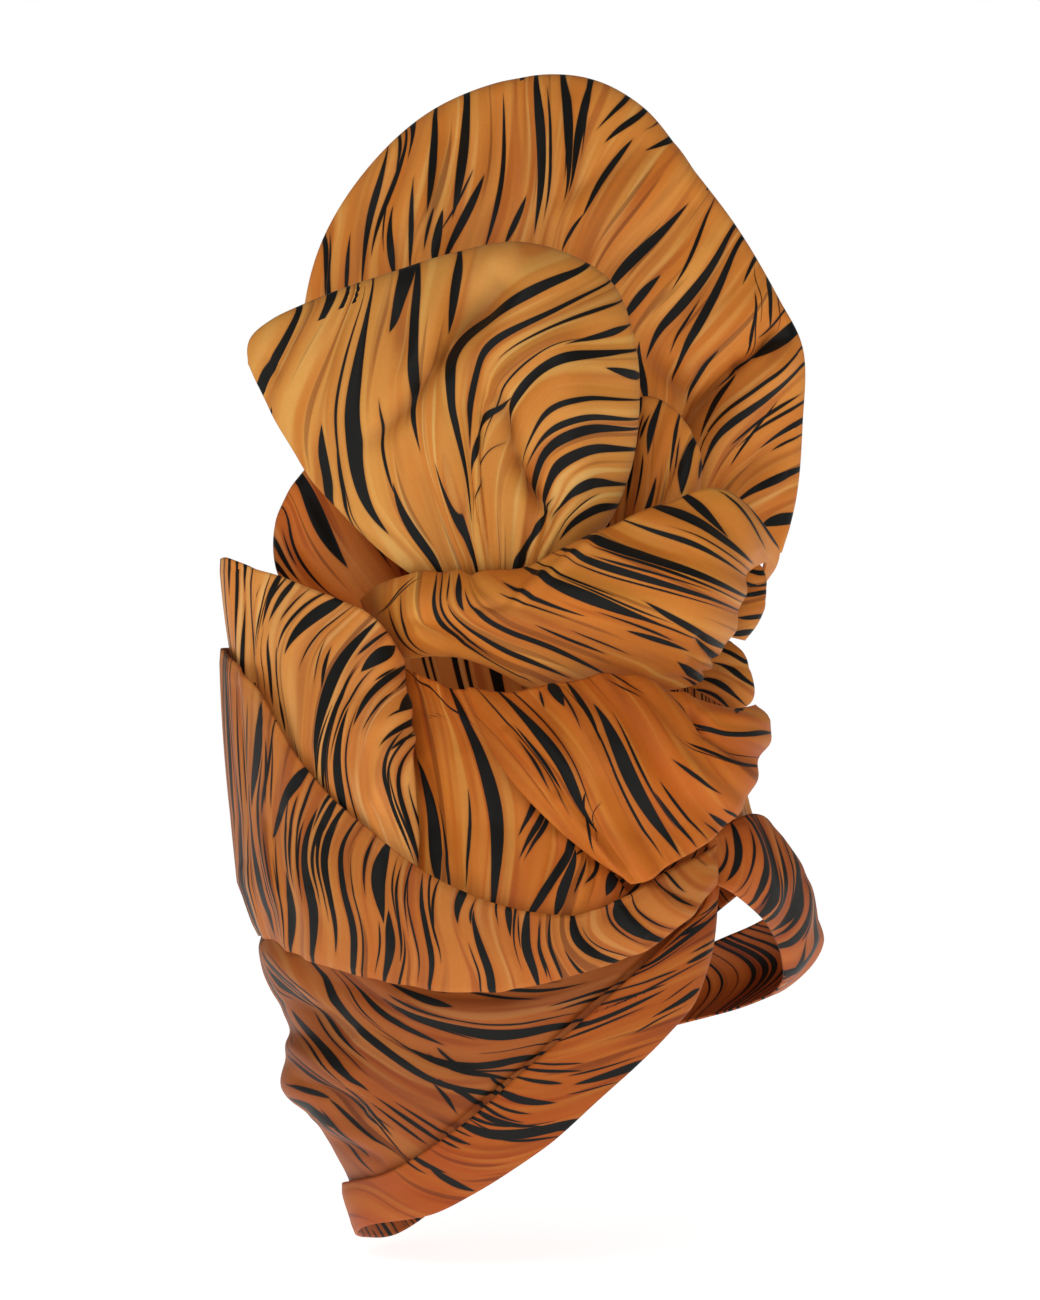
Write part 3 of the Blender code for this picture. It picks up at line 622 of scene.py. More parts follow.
# The run of the stripes: a row is a line along a stripe, in order across them.
RUN_COLUMNS = ("x1", "y1", "x2", "y2", "x3", "y3", "x4", "y4", "x5", "y5")
RUNS = {
    "front_loop": (
        (306, 298, 290, 335, 270, 372, 258, 400, 246, 430),
        (352, 288, 315, 345, 290, 400, 286, 450, 292, 480),
        (371, 285, 358, 375, 356, 430, 372, 508, 425, 566),
        (412, 268, 400, 330, 385, 420, 398, 505, 444, 578),
        (438, 262, 424, 330, 412, 430, 432, 505, 458, 575),
        (468, 255, 446, 330, 441, 400, 458, 480, 472, 572),
        (593, 264, 523, 296, 448, 360, 446, 456, 478, 574),
        (612, 281, 551, 313, 487, 348, 466, 420, 486, 572),
        (624, 352, 560, 358, 512, 392, 484, 462, 495, 572),
        (631, 401, 560, 396, 528, 430, 510, 490, 505, 575),
        (632, 427, 575, 430, 542, 458, 540, 505, 522, 570),
        (628, 452, 580, 453, 550, 478, 545, 512, 530, 560),
        (616, 504, 593, 507, 574, 518, 561, 535, 545, 560),
    ),
    "back_loop": (
        (322, 235, 316, 265, 312, 300, 308, 345, 300, 430),
        (372, 170, 354, 215, 345, 260, 342, 310, 338, 430),
        (418, 118, 401, 172, 384, 225, 377, 290, 372, 430),
        (470, 78, 466, 150, 456, 205, 438, 270, 425, 430),
        (508, 76, 508, 160, 496, 220, 474, 285, 455, 430),
        (536, 76, 543, 170, 538, 225, 520, 300, 492, 450),
        (604, 82, 578, 150, 571, 190, 552, 245, 522, 430),
        (660, 112, 622, 152, 585, 205, 566, 252, 550, 450),
        (694, 165, 655, 212, 612, 262, 588, 320, 575, 460),
        (720, 198, 684, 258, 643, 300, 614, 350, 600, 480),
        (742, 228, 712, 275, 678, 314, 650, 352, 625, 500),
        (764, 262, 732, 310, 704, 342, 678, 376, 655, 510),
        (788, 300, 768, 336, 738, 366, 700, 412, 675, 520),
        (801, 360, 768, 390, 736, 416, 703, 450, 685, 530),
        (803, 425, 775, 441, 750, 461, 725, 487, 700, 540),
        (800, 490, 775, 500, 752, 511, 735, 523, 712, 550),
    ),
    "side_loop": (
        (276, 520, 280, 550, 298, 580, 330, 605, 350, 615),
        (298, 472, 312, 507, 328, 540, 345, 565, 368, 594),
        (322, 452, 338, 490, 360, 530, 380, 558, 400, 585),
    ),
    "knot_wrap": (
        (700, 488, 722, 502, 745, 522, 766, 545, 790, 570),
        (656, 507, 692, 524, 722, 545, 745, 564, 772, 590),
        (600, 532, 640, 553, 690, 573, 732, 592, 762, 608),
        (560, 550, 600, 571, 650, 590, 700, 607, 738, 624),
        (522, 567, 556, 590, 610, 608, 670, 627, 726, 650),
        (480, 578, 510, 594, 560, 613, 630, 637, 700, 672),
        (462, 574, 465, 606, 500, 630, 560, 651, 640, 686),
        (437, 574, 433, 610, 456, 634, 510, 663, 580, 698),
        (408, 574, 408, 610, 420, 640, 462, 658, 520, 694),
        (384, 582, 384, 615, 396, 646, 424, 668, 470, 704),
    ),
    "side_pleat": (
        (228, 555, 231, 585, 234, 615, 237, 650, 242, 700),
        (262, 562, 250, 600, 248, 632, 253, 672, 264, 730),
        (302, 574, 276, 620, 268, 655, 272, 700, 284, 775),
        (345, 595, 305, 630, 290, 667, 294, 722, 306, 800),
        (368, 630, 342, 664, 326, 712, 315, 765, 326, 825),
        (392, 648, 362, 678, 344, 720, 338, 772, 352, 840),
        (408, 670, 374, 698, 356, 745, 359, 792, 384, 858),
        (422, 702, 390, 726, 373, 766, 382, 812, 408, 880),
        (430, 738, 404, 748, 391, 776, 402, 818, 426, 890),
    ),
    "centre_pleat": (
        (408, 680, 417, 730, 424, 775, 430, 820, 430, 890),
        (430, 684, 441, 730, 449, 780, 453, 830, 452, 895),
        (452, 690, 470, 724, 487, 765, 499, 825, 496, 900),
        (482, 714, 506, 750, 522, 790, 522, 842, 514, 908),
        (508, 736, 541, 780, 555, 820, 546, 868, 530, 915),
        (538, 778, 570, 815, 578, 850, 566, 884, 555, 918),
        (572, 820, 600, 850, 612, 872, 608, 892, 602, 912),
    ),
    "cross_pleat": (
        (495, 730, 526, 764, 554, 800, 584, 836, 618, 874),
        (498, 690, 545, 735, 573, 768, 590, 810, 622, 874),
        (540, 686, 575, 722, 600, 766, 622, 816, 652, 868),
        (572, 680, 604, 720, 628, 775, 651, 815, 680, 856),
        (610, 674, 640, 710, 665, 755, 695, 800, 724, 830),
        (640, 675, 672, 704, 700, 744, 728, 780, 748, 802),
        (664, 686, 694, 720, 720, 746, 745, 763, 762, 775),
        (696, 704, 714, 722, 738, 726, 756, 730, 772, 734),
    ),
    "front_band": (
        (230, 640, 229, 720, 232, 800, 240, 870, 262, 940),
        (256, 690, 257, 760, 250, 815, 262, 880, 280, 950),
        (292, 745, 283, 805, 285, 870, 293, 912, 291, 960),
        (334, 790, 315, 828, 309, 865, 318, 910, 315, 970),
        (362, 820, 345, 850, 347, 890, 358, 932, 356, 985),
        (394, 840, 381, 880, 384, 918, 389, 950, 384, 992),
        (426, 864, 424, 900, 430, 930, 436, 960, 430, 1000),
        (468, 884, 461, 914, 472, 945, 486, 972, 492, 1004),
        (530, 902, 527, 930, 528, 950, 536, 972, 544, 998),
        (574, 906, 574, 930, 582, 946, 602, 959, 630, 966),
        (618, 896, 625, 917, 640, 930, 662, 939, 690, 940),
        (656, 870, 668, 886, 680, 898, 694, 906, 712, 908),
    ),
    "far_roll": (
        (718, 820, 732, 850, 731, 870, 722, 886, 712, 896),
        (744, 810, 759, 845, 761, 875, 750, 900, 734, 910),
        (766, 820, 782, 855, 787, 885, 776, 914, 750, 930),
        (786, 845, 802, 880, 804, 910, 786, 938, 755, 952),
        (802, 872, 817, 915, 814, 945, 790, 968, 762, 976),
        (815, 905, 822, 945, 812, 972, 790, 990, 766, 998),
    ),
    "cap": (
        (330, 930, 400, 972, 470, 988, 560, 986, 650, 948),
        (320, 945, 390, 992, 450, 1014, 520, 1014, 610, 990),
        (340, 965, 380, 1006, 445, 1030, 505, 1039, 578, 1022),
        (318, 955, 348, 1008, 388, 1042, 455, 1070, 542, 1052),
        (292, 950, 330, 1010, 372, 1046, 440, 1084, 508, 1090),
        (262, 950, 300, 1008, 350, 1052, 402, 1088, 468, 1120),
        (262, 985, 298, 1034, 345, 1078, 395, 1112, 442, 1144),
        (282, 1035, 314, 1070, 354, 1102, 390, 1137, 418, 1160),
        (288, 1082, 314, 1100, 344, 1127, 370, 1152, 398, 1172),
        (298, 1112, 318, 1128, 338, 1148, 358, 1168, 384, 1190),
    ),
    "hem": (
        (690, 906, 700, 900, 709, 890, 716, 876, 720, 858),
        (645, 955, 668, 941, 690, 927, 706, 916, 722, 903),
        (602, 1000, 634, 986, 664, 971, 690, 957, 714, 944),
        (560, 1036, 600, 1021, 640, 1006, 670, 992, 704, 978),
        (515, 1070, 555, 1064, 600, 1052, 635, 1041, 668, 1028),
        (488, 1090, 525, 1099, 565, 1094, 600, 1082, 640, 1064),
        (455, 1119, 490, 1132, 535, 1129, 570, 1119, 604, 1104),
        (425, 1146, 455, 1161, 490, 1166, 520, 1161, 552, 1148),
        (395, 1168, 420, 1186, 450, 1196, 475, 1200, 505, 1190),
    ),
    "upper_tuck": (
        (622, 398, 622, 430, 626, 462, 622, 500, 616, 545),
        (658, 396, 650, 430, 650, 462, 646, 500, 634, 545),
        (696, 430, 684, 456, 676, 482, 668, 512, 652, 550),
    ),
    "side_tuck": (
        (716, 586, 735, 582, 748, 582, 758, 583, 770, 586),
        (716, 606, 735, 604, 748, 602, 758, 599, 770, 595),
        (716, 632, 735, 630, 746, 624, 755, 618, 766, 610),
    ),
    "lower_tuck": (
        (690, 648, 712, 648, 728, 654, 740, 662, 754, 674),
        (690, 670, 708, 668, 724, 672, 738, 681, 750, 694),
        (688, 692, 706, 689, 720, 693, 732, 702, 742, 714),
    ),
}

# The bold dark stripes: the drawn ends of each, its full width in squares
# and where along it the stripe is fullest.
STRIPE_COLUMNS = ("x1", "y1", "x2", "y2", "width", "fullest")
STRIPES = {
    "front_loop": (
        (308, 300, 256, 400, 11, 0.8),
        (367, 298, 377, 517, 15, 0.55),
        (412, 266, 392, 324, 18, 0.1),
        (420, 268, 418, 440, 12, 0.45),
        (460, 256, 446, 332, 10, 0.3),
        (596, 266, 446, 458, 13, 0.66),
        (612, 282, 466, 422, 8, 0.8),
        (614, 303, 506, 352, 4, 0.4),
        (622, 331, 568, 345, 6, 0.3),
        (628, 352, 509, 410, 12, 0.72),
        (634, 376, 604, 368, 7, 0.1),
        (633, 402, 526, 454, 5, 0.5),
        (634, 418, 531, 458, 7, 0.4),
        (632, 428, 538, 490, 10, 0.5),
        (630, 450, 543, 512, 12, 0.6),
        (622, 484, 561, 508, 8, 0.4),
        (617, 504, 560, 536, 8, 0.5),
        (500, 404, 470, 497, 9, 0.45),
        (321, 430, 334, 514, 9, 0.5),
        (339, 446, 353, 523, 4, 0.5),
        (379, 405, 394, 490, 4, 0.5),
        (396, 492, 446, 582, 10, 0.65),
        (463, 500, 478, 578, 9, 0.85),
        (545, 514, 512, 580, 12, 0.6),
        (292, 470, 306, 500, 4, 0.5),
    ),
    "back_loop": (
        (328, 240, 329, 292, 4, 0.5),
        (390, 156, 363, 278, 7, 0.5),
        (408, 136, 376, 242, 7, 0.5),
        (420, 110, 410, 156, 6, 0.3),
        (394, 212, 394, 275, 7, 0.6),
        (415, 196, 411, 266, 4, 0.6),
        (440, 96, 428, 203, 6, 0.5),
        (468, 82, 456, 207, 12, 0.5),
        (480, 183, 444, 260, 10, 0.5),
        (444, 212, 434, 262, 8, 0.6),
        (505, 110, 488, 240, 7, 0.55),
        (524, 200, 506, 245, 8, 0.6),
        (532, 84, 541, 224, 13, 0.5),
        (556, 84, 566, 190, 9, 0.5),
        (592, 88, 572, 184, 10, 0.5),
        (628, 145, 580, 210, 9, 0.45),
        (654, 112, 608, 140, 6, 0.5),
        (680, 140, 648, 150, 8, 0.2),
        (680, 212, 610, 288, 13, 0.6),
        (656, 280, 620, 322, 10, 0.5),
        (708, 208, 674, 285, 5, 0.4),
        (734, 224, 650, 346, 11, 0.6),
        (744, 228, 676, 370, 10, 0.55),
        (757, 248, 741, 285, 5, 0.4),
        (764, 270, 768, 324, 11, 0.5),
        (753, 298, 748, 350, 7, 0.5),
        (798, 322, 764, 354, 14, 0.2),
        (799, 366, 697, 474, 8, 0.45),
        (797, 396, 735, 440, 5, 0.4),
        (777, 404, 731, 463, 7, 0.5),
        (799, 470, 734, 506, 9, 0.4),
        (792, 516, 758, 526, 13, 0.3),
        (742, 378, 704, 432, 8, 0.5),
        (716, 352, 690, 396, 6, 0.5),
        (770, 345, 728, 385, 5, 0.4),
        (637, 350, 646, 400, 13, 0.5),
        (802, 420, 760, 446, 6, 0.3),
        (350, 240, 345, 300, 4, 0.5),
        (575, 215, 560, 250, 6, 0.5),
        (700, 300, 672, 345, 4, 0.5),
    ),
    "side_loop": (
        (299, 470, 342, 560, 17, 0.5),
        (288, 510, 330, 590, 4, 0.5),
        (340, 470, 385, 560, 5, 0.5),
        (280, 540, 300, 580, 4, 0.4),
    ),
    "knot_wrap": (
        (581, 536, 742, 594, 14, 0.3),
        (654, 507, 742, 556, 14, 0.35),
        (685, 494, 720, 532, 9, 0.4),
        (626, 521, 744, 577, 6, 0.5),
        (560, 549, 742, 612, 8, 0.3),
        (600, 552, 736, 600, 4, 0.5),
        (528, 569, 652, 620, 13, 0.45),
        (650, 605, 730, 650, 9, 0.55),
        (506, 586, 574, 611, 7, 0.4),
        (625, 628, 682, 648, 7, 0.5),
        (468, 604, 600, 668, 8, 0.45),
        (436, 586, 525, 676, 7, 0.4),
        (461, 578, 463, 612, 8, 0.4),
        (450, 610, 560, 672, 7, 0.5),
        (414, 582, 383, 612, 5, 0.5),
        (392, 612, 418, 652, 4, 0.5),
        (402, 600, 425, 652, 4, 0.5),
        (720, 498, 760, 545, 4, 0.6),
        (590, 600, 700, 640, 4, 0.5),
        (676, 660, 716, 690, 8, 0.4),
        (700, 640, 726, 662, 8, 0.5),
        (540, 625, 600, 650, 4, 0.5),
    ),
    "side_pleat": (
        (246, 566, 236, 640, 4, 0.5),
        (281, 574, 262, 622, 7, 0.4),
        (298, 580, 272, 618, 7, 0.4),
        (345, 597, 290, 648, 11, 0.3),
        (367, 632, 314, 764, 11, 0.35),
        (392, 648, 364, 670, 14, 0.35),
        (404, 668, 356, 722, 8, 0.4),
        (352, 676, 327, 792, 6, 0.5),
        (348, 715, 347, 815, 10, 0.6),
        (418, 694, 396, 712, 13, 0.3),
        (424, 718, 385, 742, 7, 0.3),
        (416, 744, 422, 872, 5, 0.6),
        (396, 738, 412, 860, 5, 0.6),
        (281, 698, 286, 730, 5, 0.5),
        (332, 652, 325, 690, 4, 0.5),
        (270, 640, 274, 700, 5, 0.5),
        (300, 740, 310, 790, 4, 0.5),
        (258, 600, 252, 660, 3, 0.5),
    ),
    "centre_pleat": (
        (448, 688, 496, 900, 13, 0.55),
        (421, 768, 439, 878, 11, 0.7),
        (575, 828, 528, 914, 9, 0.7),
        (577, 856, 553, 916, 11, 0.7),
        (531, 772, 522, 830, 5, 0.5),
        (545, 800, 530, 838, 4, 0.5),
        (614, 868, 606, 896, 10, 0.5),
        (571, 826, 567, 854, 6, 0.5),
        (408, 671, 464, 716, 3, 0.5),
        (420, 711, 444, 718, 4, 0.3),
        (470, 800, 468, 880, 3, 0.5),
        (590, 840, 588, 880, 4, 0.5),
    ),
    "cross_pleat": (
        (499, 692, 586, 818, 10, 0.75),
        (520, 732, 562, 790, 5, 0.6),
        (551, 686, 565, 708, 9, 0.2),
        (571, 689, 598, 737, 6, 0.4),
        (603, 717, 671, 844, 13, 0.4),
        (637, 675, 697, 720, 10, 0.7),
        (697, 717, 766, 732, 10, 0.5),
        (690, 748, 757, 767, 7, 0.6),
        (709, 813, 729, 827, 6, 0.6),
        (732, 717, 747, 701, 6, 0.5),
        (611, 675, 640, 694, 4, 0.4),
        (655, 795, 690, 842, 4, 0.5),
        (672, 762, 712, 792, 4, 0.5),
        (584, 790, 600, 850, 7, 0.5),
    ),
    "front_band": (
        (232, 690, 234, 790, 4, 0.5),
        (262, 710, 254, 800, 9, 0.4),
        (248, 800, 274, 926, 8, 0.5),
        (306, 766, 276, 836, 9, 0.35),
        (289, 876, 290, 952, 9, 0.5),
        (313, 822, 314, 958, 11, 0.55),
        (337, 802, 320, 842, 8, 0.4),
        (345, 808, 338, 940, 8, 0.4),
        (357, 822, 355, 976, 8, 0.75),
        (388, 846, 382, 918, 14, 0.4),
        (389, 916, 384, 984, 10, 0.4),
        (422, 884, 430, 994, 6, 0.5),
        (465, 889, 458, 924, 9, 0.3),
        (473, 916, 494, 996, 9, 0.75),
        (509, 904, 510, 936, 7, 0.4),
        (529, 910, 538, 984, 10, 0.5),
        (572, 912, 622, 962, 10, 0.4),
        (616, 902, 668, 942, 14, 0.3),
        (236, 810, 252, 900, 5, 0.5),
        (270, 740, 268, 800, 4, 0.5),
        (440, 880, 436, 930, 4, 0.5),
        (300, 800, 296, 880, 4, 0.5),
        (655, 880, 692, 908, 5, 0.5),
        (268, 840, 284, 930, 4, 0.5),
        (402, 870, 402, 950, 4, 0.5),
        (550, 920, 560, 975, 4, 0.5),
    ),
    "far_roll": (
        (742, 812, 748, 905, 6, 0.6),
        (757, 820, 752, 920, 8, 0.5),
        (776, 840, 772, 918, 4, 0.5),
        (790, 855, 776, 930, 7, 0.5),
        (803, 880, 770, 950, 6, 0.5),
        (812, 905, 770, 972, 6, 0.5),
        (816, 930, 775, 990, 9, 0.4),
        (730, 825, 727, 880, 6, 0.5),
    ),
    "cap": (
        (262, 949, 308, 996, 6, 0.5),
        (264, 964, 306, 1004, 6, 0.5),
        (318, 958, 500, 1094, 10, 0.35),
        (350, 980, 440, 1042, 6, 0.5),
        (394, 984, 450, 1005, 7, 0.6),
        (398, 1006, 575, 1022, 12, 0.5),
        (412, 1052, 542, 1052, 8, 0.5),
        (298, 1018, 366, 1086, 11, 0.4),
        (294, 1056, 384, 1126, 6, 0.5),
        (294, 1096, 344, 1124, 6, 0.4),
        (346, 1085, 396, 1134, 8, 0.5),
        (554, 1003, 630, 980, 4, 0.5),
        (300, 986, 360, 1052, 5, 0.5),
        (440, 1078, 500, 1108, 4, 0.5),
        (380, 1098, 440, 1140, 4, 0.5),
        (270, 1000, 300, 1046, 4, 0.5),
        (318, 1110, 362, 1152, 5, 0.5),
        (480, 985, 580, 985, 4, 0.5),
        (430, 1058, 500, 1080, 4, 0.5),
    ),
    "hem": (
        (626, 974, 716, 912, 7, 0.4),
        (572, 1029, 648, 996, 6, 0.4),
        (657, 1014, 697, 990, 8, 0.7),
        (520, 1068, 582, 1070, 3, 0.4),
        (575, 1084, 642, 1062, 9, 0.7),
        (491, 1086, 556, 1103, 8, 0.4),
        (472, 1108, 538, 1126, 5, 0.4),
        (454, 1119, 580, 1122, 14, 0.75),
        (446, 1134, 470, 1144, 5, 0.4),
        (408, 1153, 445, 1172, 6, 0.5),
        (680, 935, 712, 918, 4, 0.5),
        (600, 1005, 660, 985, 3, 0.5),
        (505, 1140, 560, 1136, 4, 0.5),
        (690, 960, 712, 948, 5, 0.6),
        (430, 1165, 470, 1190, 7, 0.5),
    ),
    "upper_tuck": (
        (642, 403, 633, 434, 6, 0.4),
        (660, 405, 648, 452, 7, 0.5),
        (676, 420, 668, 470, 6, 0.5),
        (692, 440, 680, 490, 8, 0.5),
        (634, 455, 628, 500, 5, 0.5),
        (656, 480, 640, 530, 6, 0.5),
    ),
    "side_tuck": (
        (740, 572, 768, 584, 4, 0.5),
        (738, 596, 766, 592, 6, 0.7),
        (736, 618, 760, 612, 6, 0.5),
        (730, 634, 750, 628, 7, 0.5),
    ),
    "lower_tuck": (
        (706, 648, 744, 664, 5, 0.5),
        (716, 662, 750, 688, 7, 0.5),
        (704, 678, 740, 700, 6, 0.5),
        (694, 690, 730, 710, 5, 0.5),
    ),
}

# ------------------------------------------------------------- fine cloth ---
SPACING = 0.00125         # distance between the points of the fine cloth
WIDE_SPACING = 0.00190    # the same on the rear loop, the largest piece
SEEN_TURN = 72.0          # degrees from the eye where the drawn side ends
FAR_TURN = 84.0           # the same for the far roll, which stands out at the side
LAYERS = 7                # sets of stripes that keep clear of each other
CARRY = 0.10              # how far a stripe runs on past its row, at each end
EASE = 14                 # rounds of easing of the stripes' run
TURN_SQUARES = 4.5        # squares of cloth per degree round the unseen side
COVER_COLUMNS = ("low_x", "high_x", "low_y")
COVERED = {  # where on the drawing other pieces cover a piece
    "back_loop": (250, 640, 300),
    "front_loop": (250, 640, 590),
    "side_loop": (385, 500, 400),
    "upper_tuck": (400, 640, 350),
    "side_tuck": (400, 700, 350),
    "lower_tuck": (400, 690, 350),
    "knot_wrap": (0, 1, 2000),
}
GROWN = {  # mm across and up that the fine cloth reaches on, to close slits
    "side_tuck": (0.0, 3.4),
    "side_loop": (2.6, 0.0),
}
RIPPLES = {  # mm of soft rise and fall along the stripes
    "back_loop": 1.0,
    "front_loop": 0.7,
    "side_loop": 0.6,
    "knot_wrap": 0.7,
    "side_pleat": 0.45,
    "centre_pleat": 0.5,
    "cross_pleat": 0.8,
    "front_band": 0.4,
    "far_roll": 0.7,
    "cap": 0.35,
    "hem": 0.15,
    "upper_tuck": 0.6,
    "side_tuck": 0.4,
    "lower_tuck": 0.5,
}
TONE_AND_SHADE_COLUMNS = ("rust", "red", "green", "blue")
TONES_AND_PAINTED_SHADE = {  # how rusty each piece's print is, and how bright it is in each colour: partly the cloth's own tone, partly painted light and shade, each piece darkened or brightened for the light that falls on it, the lower pieces darkest
    "back_loop": (0.38, 1.02, 0.93, 0.70),
    "front_loop": (0.14, 0.89, 0.93, 0.79),
    "side_loop": (0.60, 1.00, 0.70, 0.48),
    "knot_wrap": (0.22, 0.86, 0.74, 0.44),
    "upper_tuck": (0.15, 1.00, 0.90, 0.64),
    "side_tuck": (0.30, 0.90, 0.76, 0.50),
    "lower_tuck": (0.40, 0.86, 0.70, 0.44),
    "side_pleat": (0.42, 1.06, 1.08, 1.10),
    "centre_pleat": (0.34, 0.88, 0.64, 0.34),
    "cross_pleat": (0.34, 0.78, 0.50, 0.21),
    "front_band": (0.50, 0.73, 0.57, 0.42),
    "far_roll": (0.62, 0.70, 0.44, 0.30),
    "cap": (0.54, 0.50, 0.33, 0.24),
    "hem": (0.32, 0.57, 0.31, 0.12),
}
PRINT_COLUMNS = ("fullness", "companions")
PRINTS = {  # how full the stripes are, and how many have a fine line beside them
    "back_loop": (0.94, 0.24),
    "front_loop": (1.02, 0.10),
    "side_loop": (0.95, 0.30),
    "knot_wrap": (0.86, 0.42),
    "upper_tuck": (1.00, 0.40),
    "side_tuck": (0.90, 0.30),
    "lower_tuck": (0.90, 0.30),
    "side_pleat": (0.98, 0.62),
    "centre_pleat": (1.10, 0.50),
    "cross_pleat": (1.12, 0.70),
    "front_band": (1.02, 0.72),
    "far_roll": (1.20, 0.85),
    "cap": (1.12, 0.95),
    "hem": (1.05, 0.75),
}


def evened(surface, spacing):
    """The same surface on a grid whose points stand about spacing apart."""
    for axis in (0, 1):
        surface = np.swapaxes(surface, 0, axis)
        step = np.linalg.norm(np.diff(surface, axis=0), axis=2)
        run = np.concatenate([[0.0], np.cumsum(step.mean(1))])
        count = max(int(round(np.quantile(step.sum(0), 0.8) / spacing)) + 1, 6)
        at = np.interp(np.linspace(0.0, run[-1], count), run, np.arange(len(run)))
        low = np.minimum(at.astype(int), len(run) - 2)
        part = (at - low)[:, None, None]
        surface = np.swapaxes(surface[low] * (1 - part) + surface[low + 1] * part, 0, axis)
    return surface


def cloth_surface(name):
    if name in LOOPS:
        table, gap, _, _ = LOOPS[name]
        ribs = [loop_rib(row, gap, 121) for row in table]
    elif name == "knot_wrap":
        ribs = [flap_rib(row, 61) for row in KNOT_WRAP]
    else:
        seen, hidden, _, _, _ = RINGS[name]
        ribs = [ring_rib(row, 61, True) for row in seen]
        ribs += [ring_rib(row, 61, False) for row in hidden]
    surface = fold(evened(skin(ribs, 420), WIDE_SPACING if name == "back_loop" else SPACING), FOLDS.get(name, ()))
    if name == "cap":  # its lower edge reaches on behind the hem
        step = surface[:, -1:] - surface[:, -2:-1]
        x, y = [part[:, -1] for part in drawn(surface)[:2]]
        front = (np.arange(len(x)) < np.argmin(x)) * np.clip((y - 905.0) / 25.0, 0.0, 1.0) * np.clip((1060.0 - y) / 40.0, 0.0, 1.0)
        step = step * (np.clip((y - 890.0) / 60.0, 0.25, 1.0) * (1.0 + front))[:, None, None]  # furthest in front
        surface = np.concatenate([surface] + [surface[:, -1:] + step * k for k in (1, 2, 3, 4, 5, 6)], axis=1)
    if name in GROWN:
        for axis, mm in enumerate(GROWN[name]):
            size = surface[..., axis]
            share = (size - size.min()) / (size.max() - size.min())
            surface[..., axis] = size + mm / 1000.0 * (share if mm > 0 else 1.0 - share)
    return surface


def drawn(surface):
    """Where each point is on the drawing; the unseen side is rolled out flat."""
    across, up, out = np.moveaxis(surface, -1, 0)
    return chart_x(across, out), chart_y(up, out)


def rolled(surface, x, seen):
    """x on the drawing, carried on round the unseen side at its own length."""
    across, _, out = np.moveaxis(surface, -1, 0)
    turn = np.unwrap(np.arctan2(across, out), axis=0)
    turn = np.degrees(turn - 2 * np.pi * np.round(turn[0].mean() / (2 * np.pi)))
    rim = np.clip(turn, -seen, seen)
    beyond = turn - rim
    swing = np.sin(np.radians(rim)) * np.hypot(across, out)
    at_rim = chart_x(swing, np.cos(np.radians(rim)) * np.hypot(across, out))
    return np.where(np.abs(beyond) > 1e-9, at_rim + beyond * TURN_SQUARES, x)


def near_line(x, y, x1, y1, x2, y2):
    dx, dy = x2 - x1, y2 - y1
    length = math.hypot(dx, dy)
    along = ((x - x1) * dx + (y - y1) * dy) / length**2
    t = np.clip(along, 0.0, 1.0)
    return np.hypot(x - x1 - t * dx, y - y1 - t * dy), t


def outward(name, surface):
    """The surface's own normal, towards the eye or away from the head, and how
    far each point belongs to the drawn side."""
    out = surface[..., 2]
    normal = np.cross(np.gradient(surface, axis=0), np.gradient(surface, axis=1))
    normal /= np.linalg.norm(normal, axis=-1, keepdims=True) + 1e-12
    if name in RINGS:
        normal = normal * (np.sign((normal * surface).sum(-1).mean()) or 1.0)
        return normal, np.clip(out / 0.02 + 0.5, 0.0, 1.0)
    if name == "knot_wrap":
        return normal * np.where(normal[..., 2:] < 0, -1.0, 1.0), np.clip(out / 0.01, 0.0, 1.0)
    middle = (out.min(axis=1, keepdims=True) + out.max(axis=1, keepdims=True)) / 2
    seen = np.clip((out - middle) / 0.006 + 0.6, 0.0, 1.0)
    turn = np.sign((normal[..., 2] * seen).sum()) or 1.0
    return normal * turn, seen


def creased(name, surface, x, y, across, along):
    """Raises ridges and sinks valleys on the drawn side, as the table says, and
    lays soft ripples along the stripes.  Also gives how deep in a valley each
    point is, from 0 to 1, for the painted shade in the creases."""
    normal, seen = outward(name, surface)
    rise, painted_crease_shade = np.zeros(x.shape), np.zeros(x.shape)
    for x1, y1, x2, y2, reach, mm in CREASES.get(name, ()):
        away, t = near_line(x, y, x1, y1, x2, y2)
        ends = 0.55 + 0.45 * np.sin(np.pi * np.clip(t, 0.02, 0.98))
        rise += mm * np.exp(-((away / reach) ** 2)) * ends
        # painted shade: each valley's depth, which the material paints darker as the shadow in the crease
        if mm < 0:
            painted_crease_shade += min(-mm / 6.0, 1.0) * np.exp(-((away / (0.62 * reach + 1.0)) ** 2)) * ends
    ripple = RIPPLES.get(name, 0.5)
    if ripple:
        rng = np.random.default_rng(len(name) * 7)
        wave = np.zeros(x.shape)
        for _ in range(5):
            wide, long = rng.uniform(34, 80), rng.uniform(160, 420)
            wave += np.sin(2 * np.pi * (across / wide + along / long * rng.choice([-1, 1]) + rng.uniform()))
        rise += ripple * wave / 2.2
    edge = np.ones(x.shape)
    for axis in (0, 1):
        count = x.shape[axis]
        near = np.minimum(np.arange(count), np.arange(count)[::-1]) / 4.0
        near = np.clip(near, 0.0, 1.0)
        edge = np.minimum(edge, near[:, None] if axis == 0 else near[None, :])
    moved = surface + normal * (rise / 1000.0 * np.maximum(seen, 0.0))[..., None]
    return moved, np.clip(painted_crease_shade * seen, 0.0, 1.0), edge


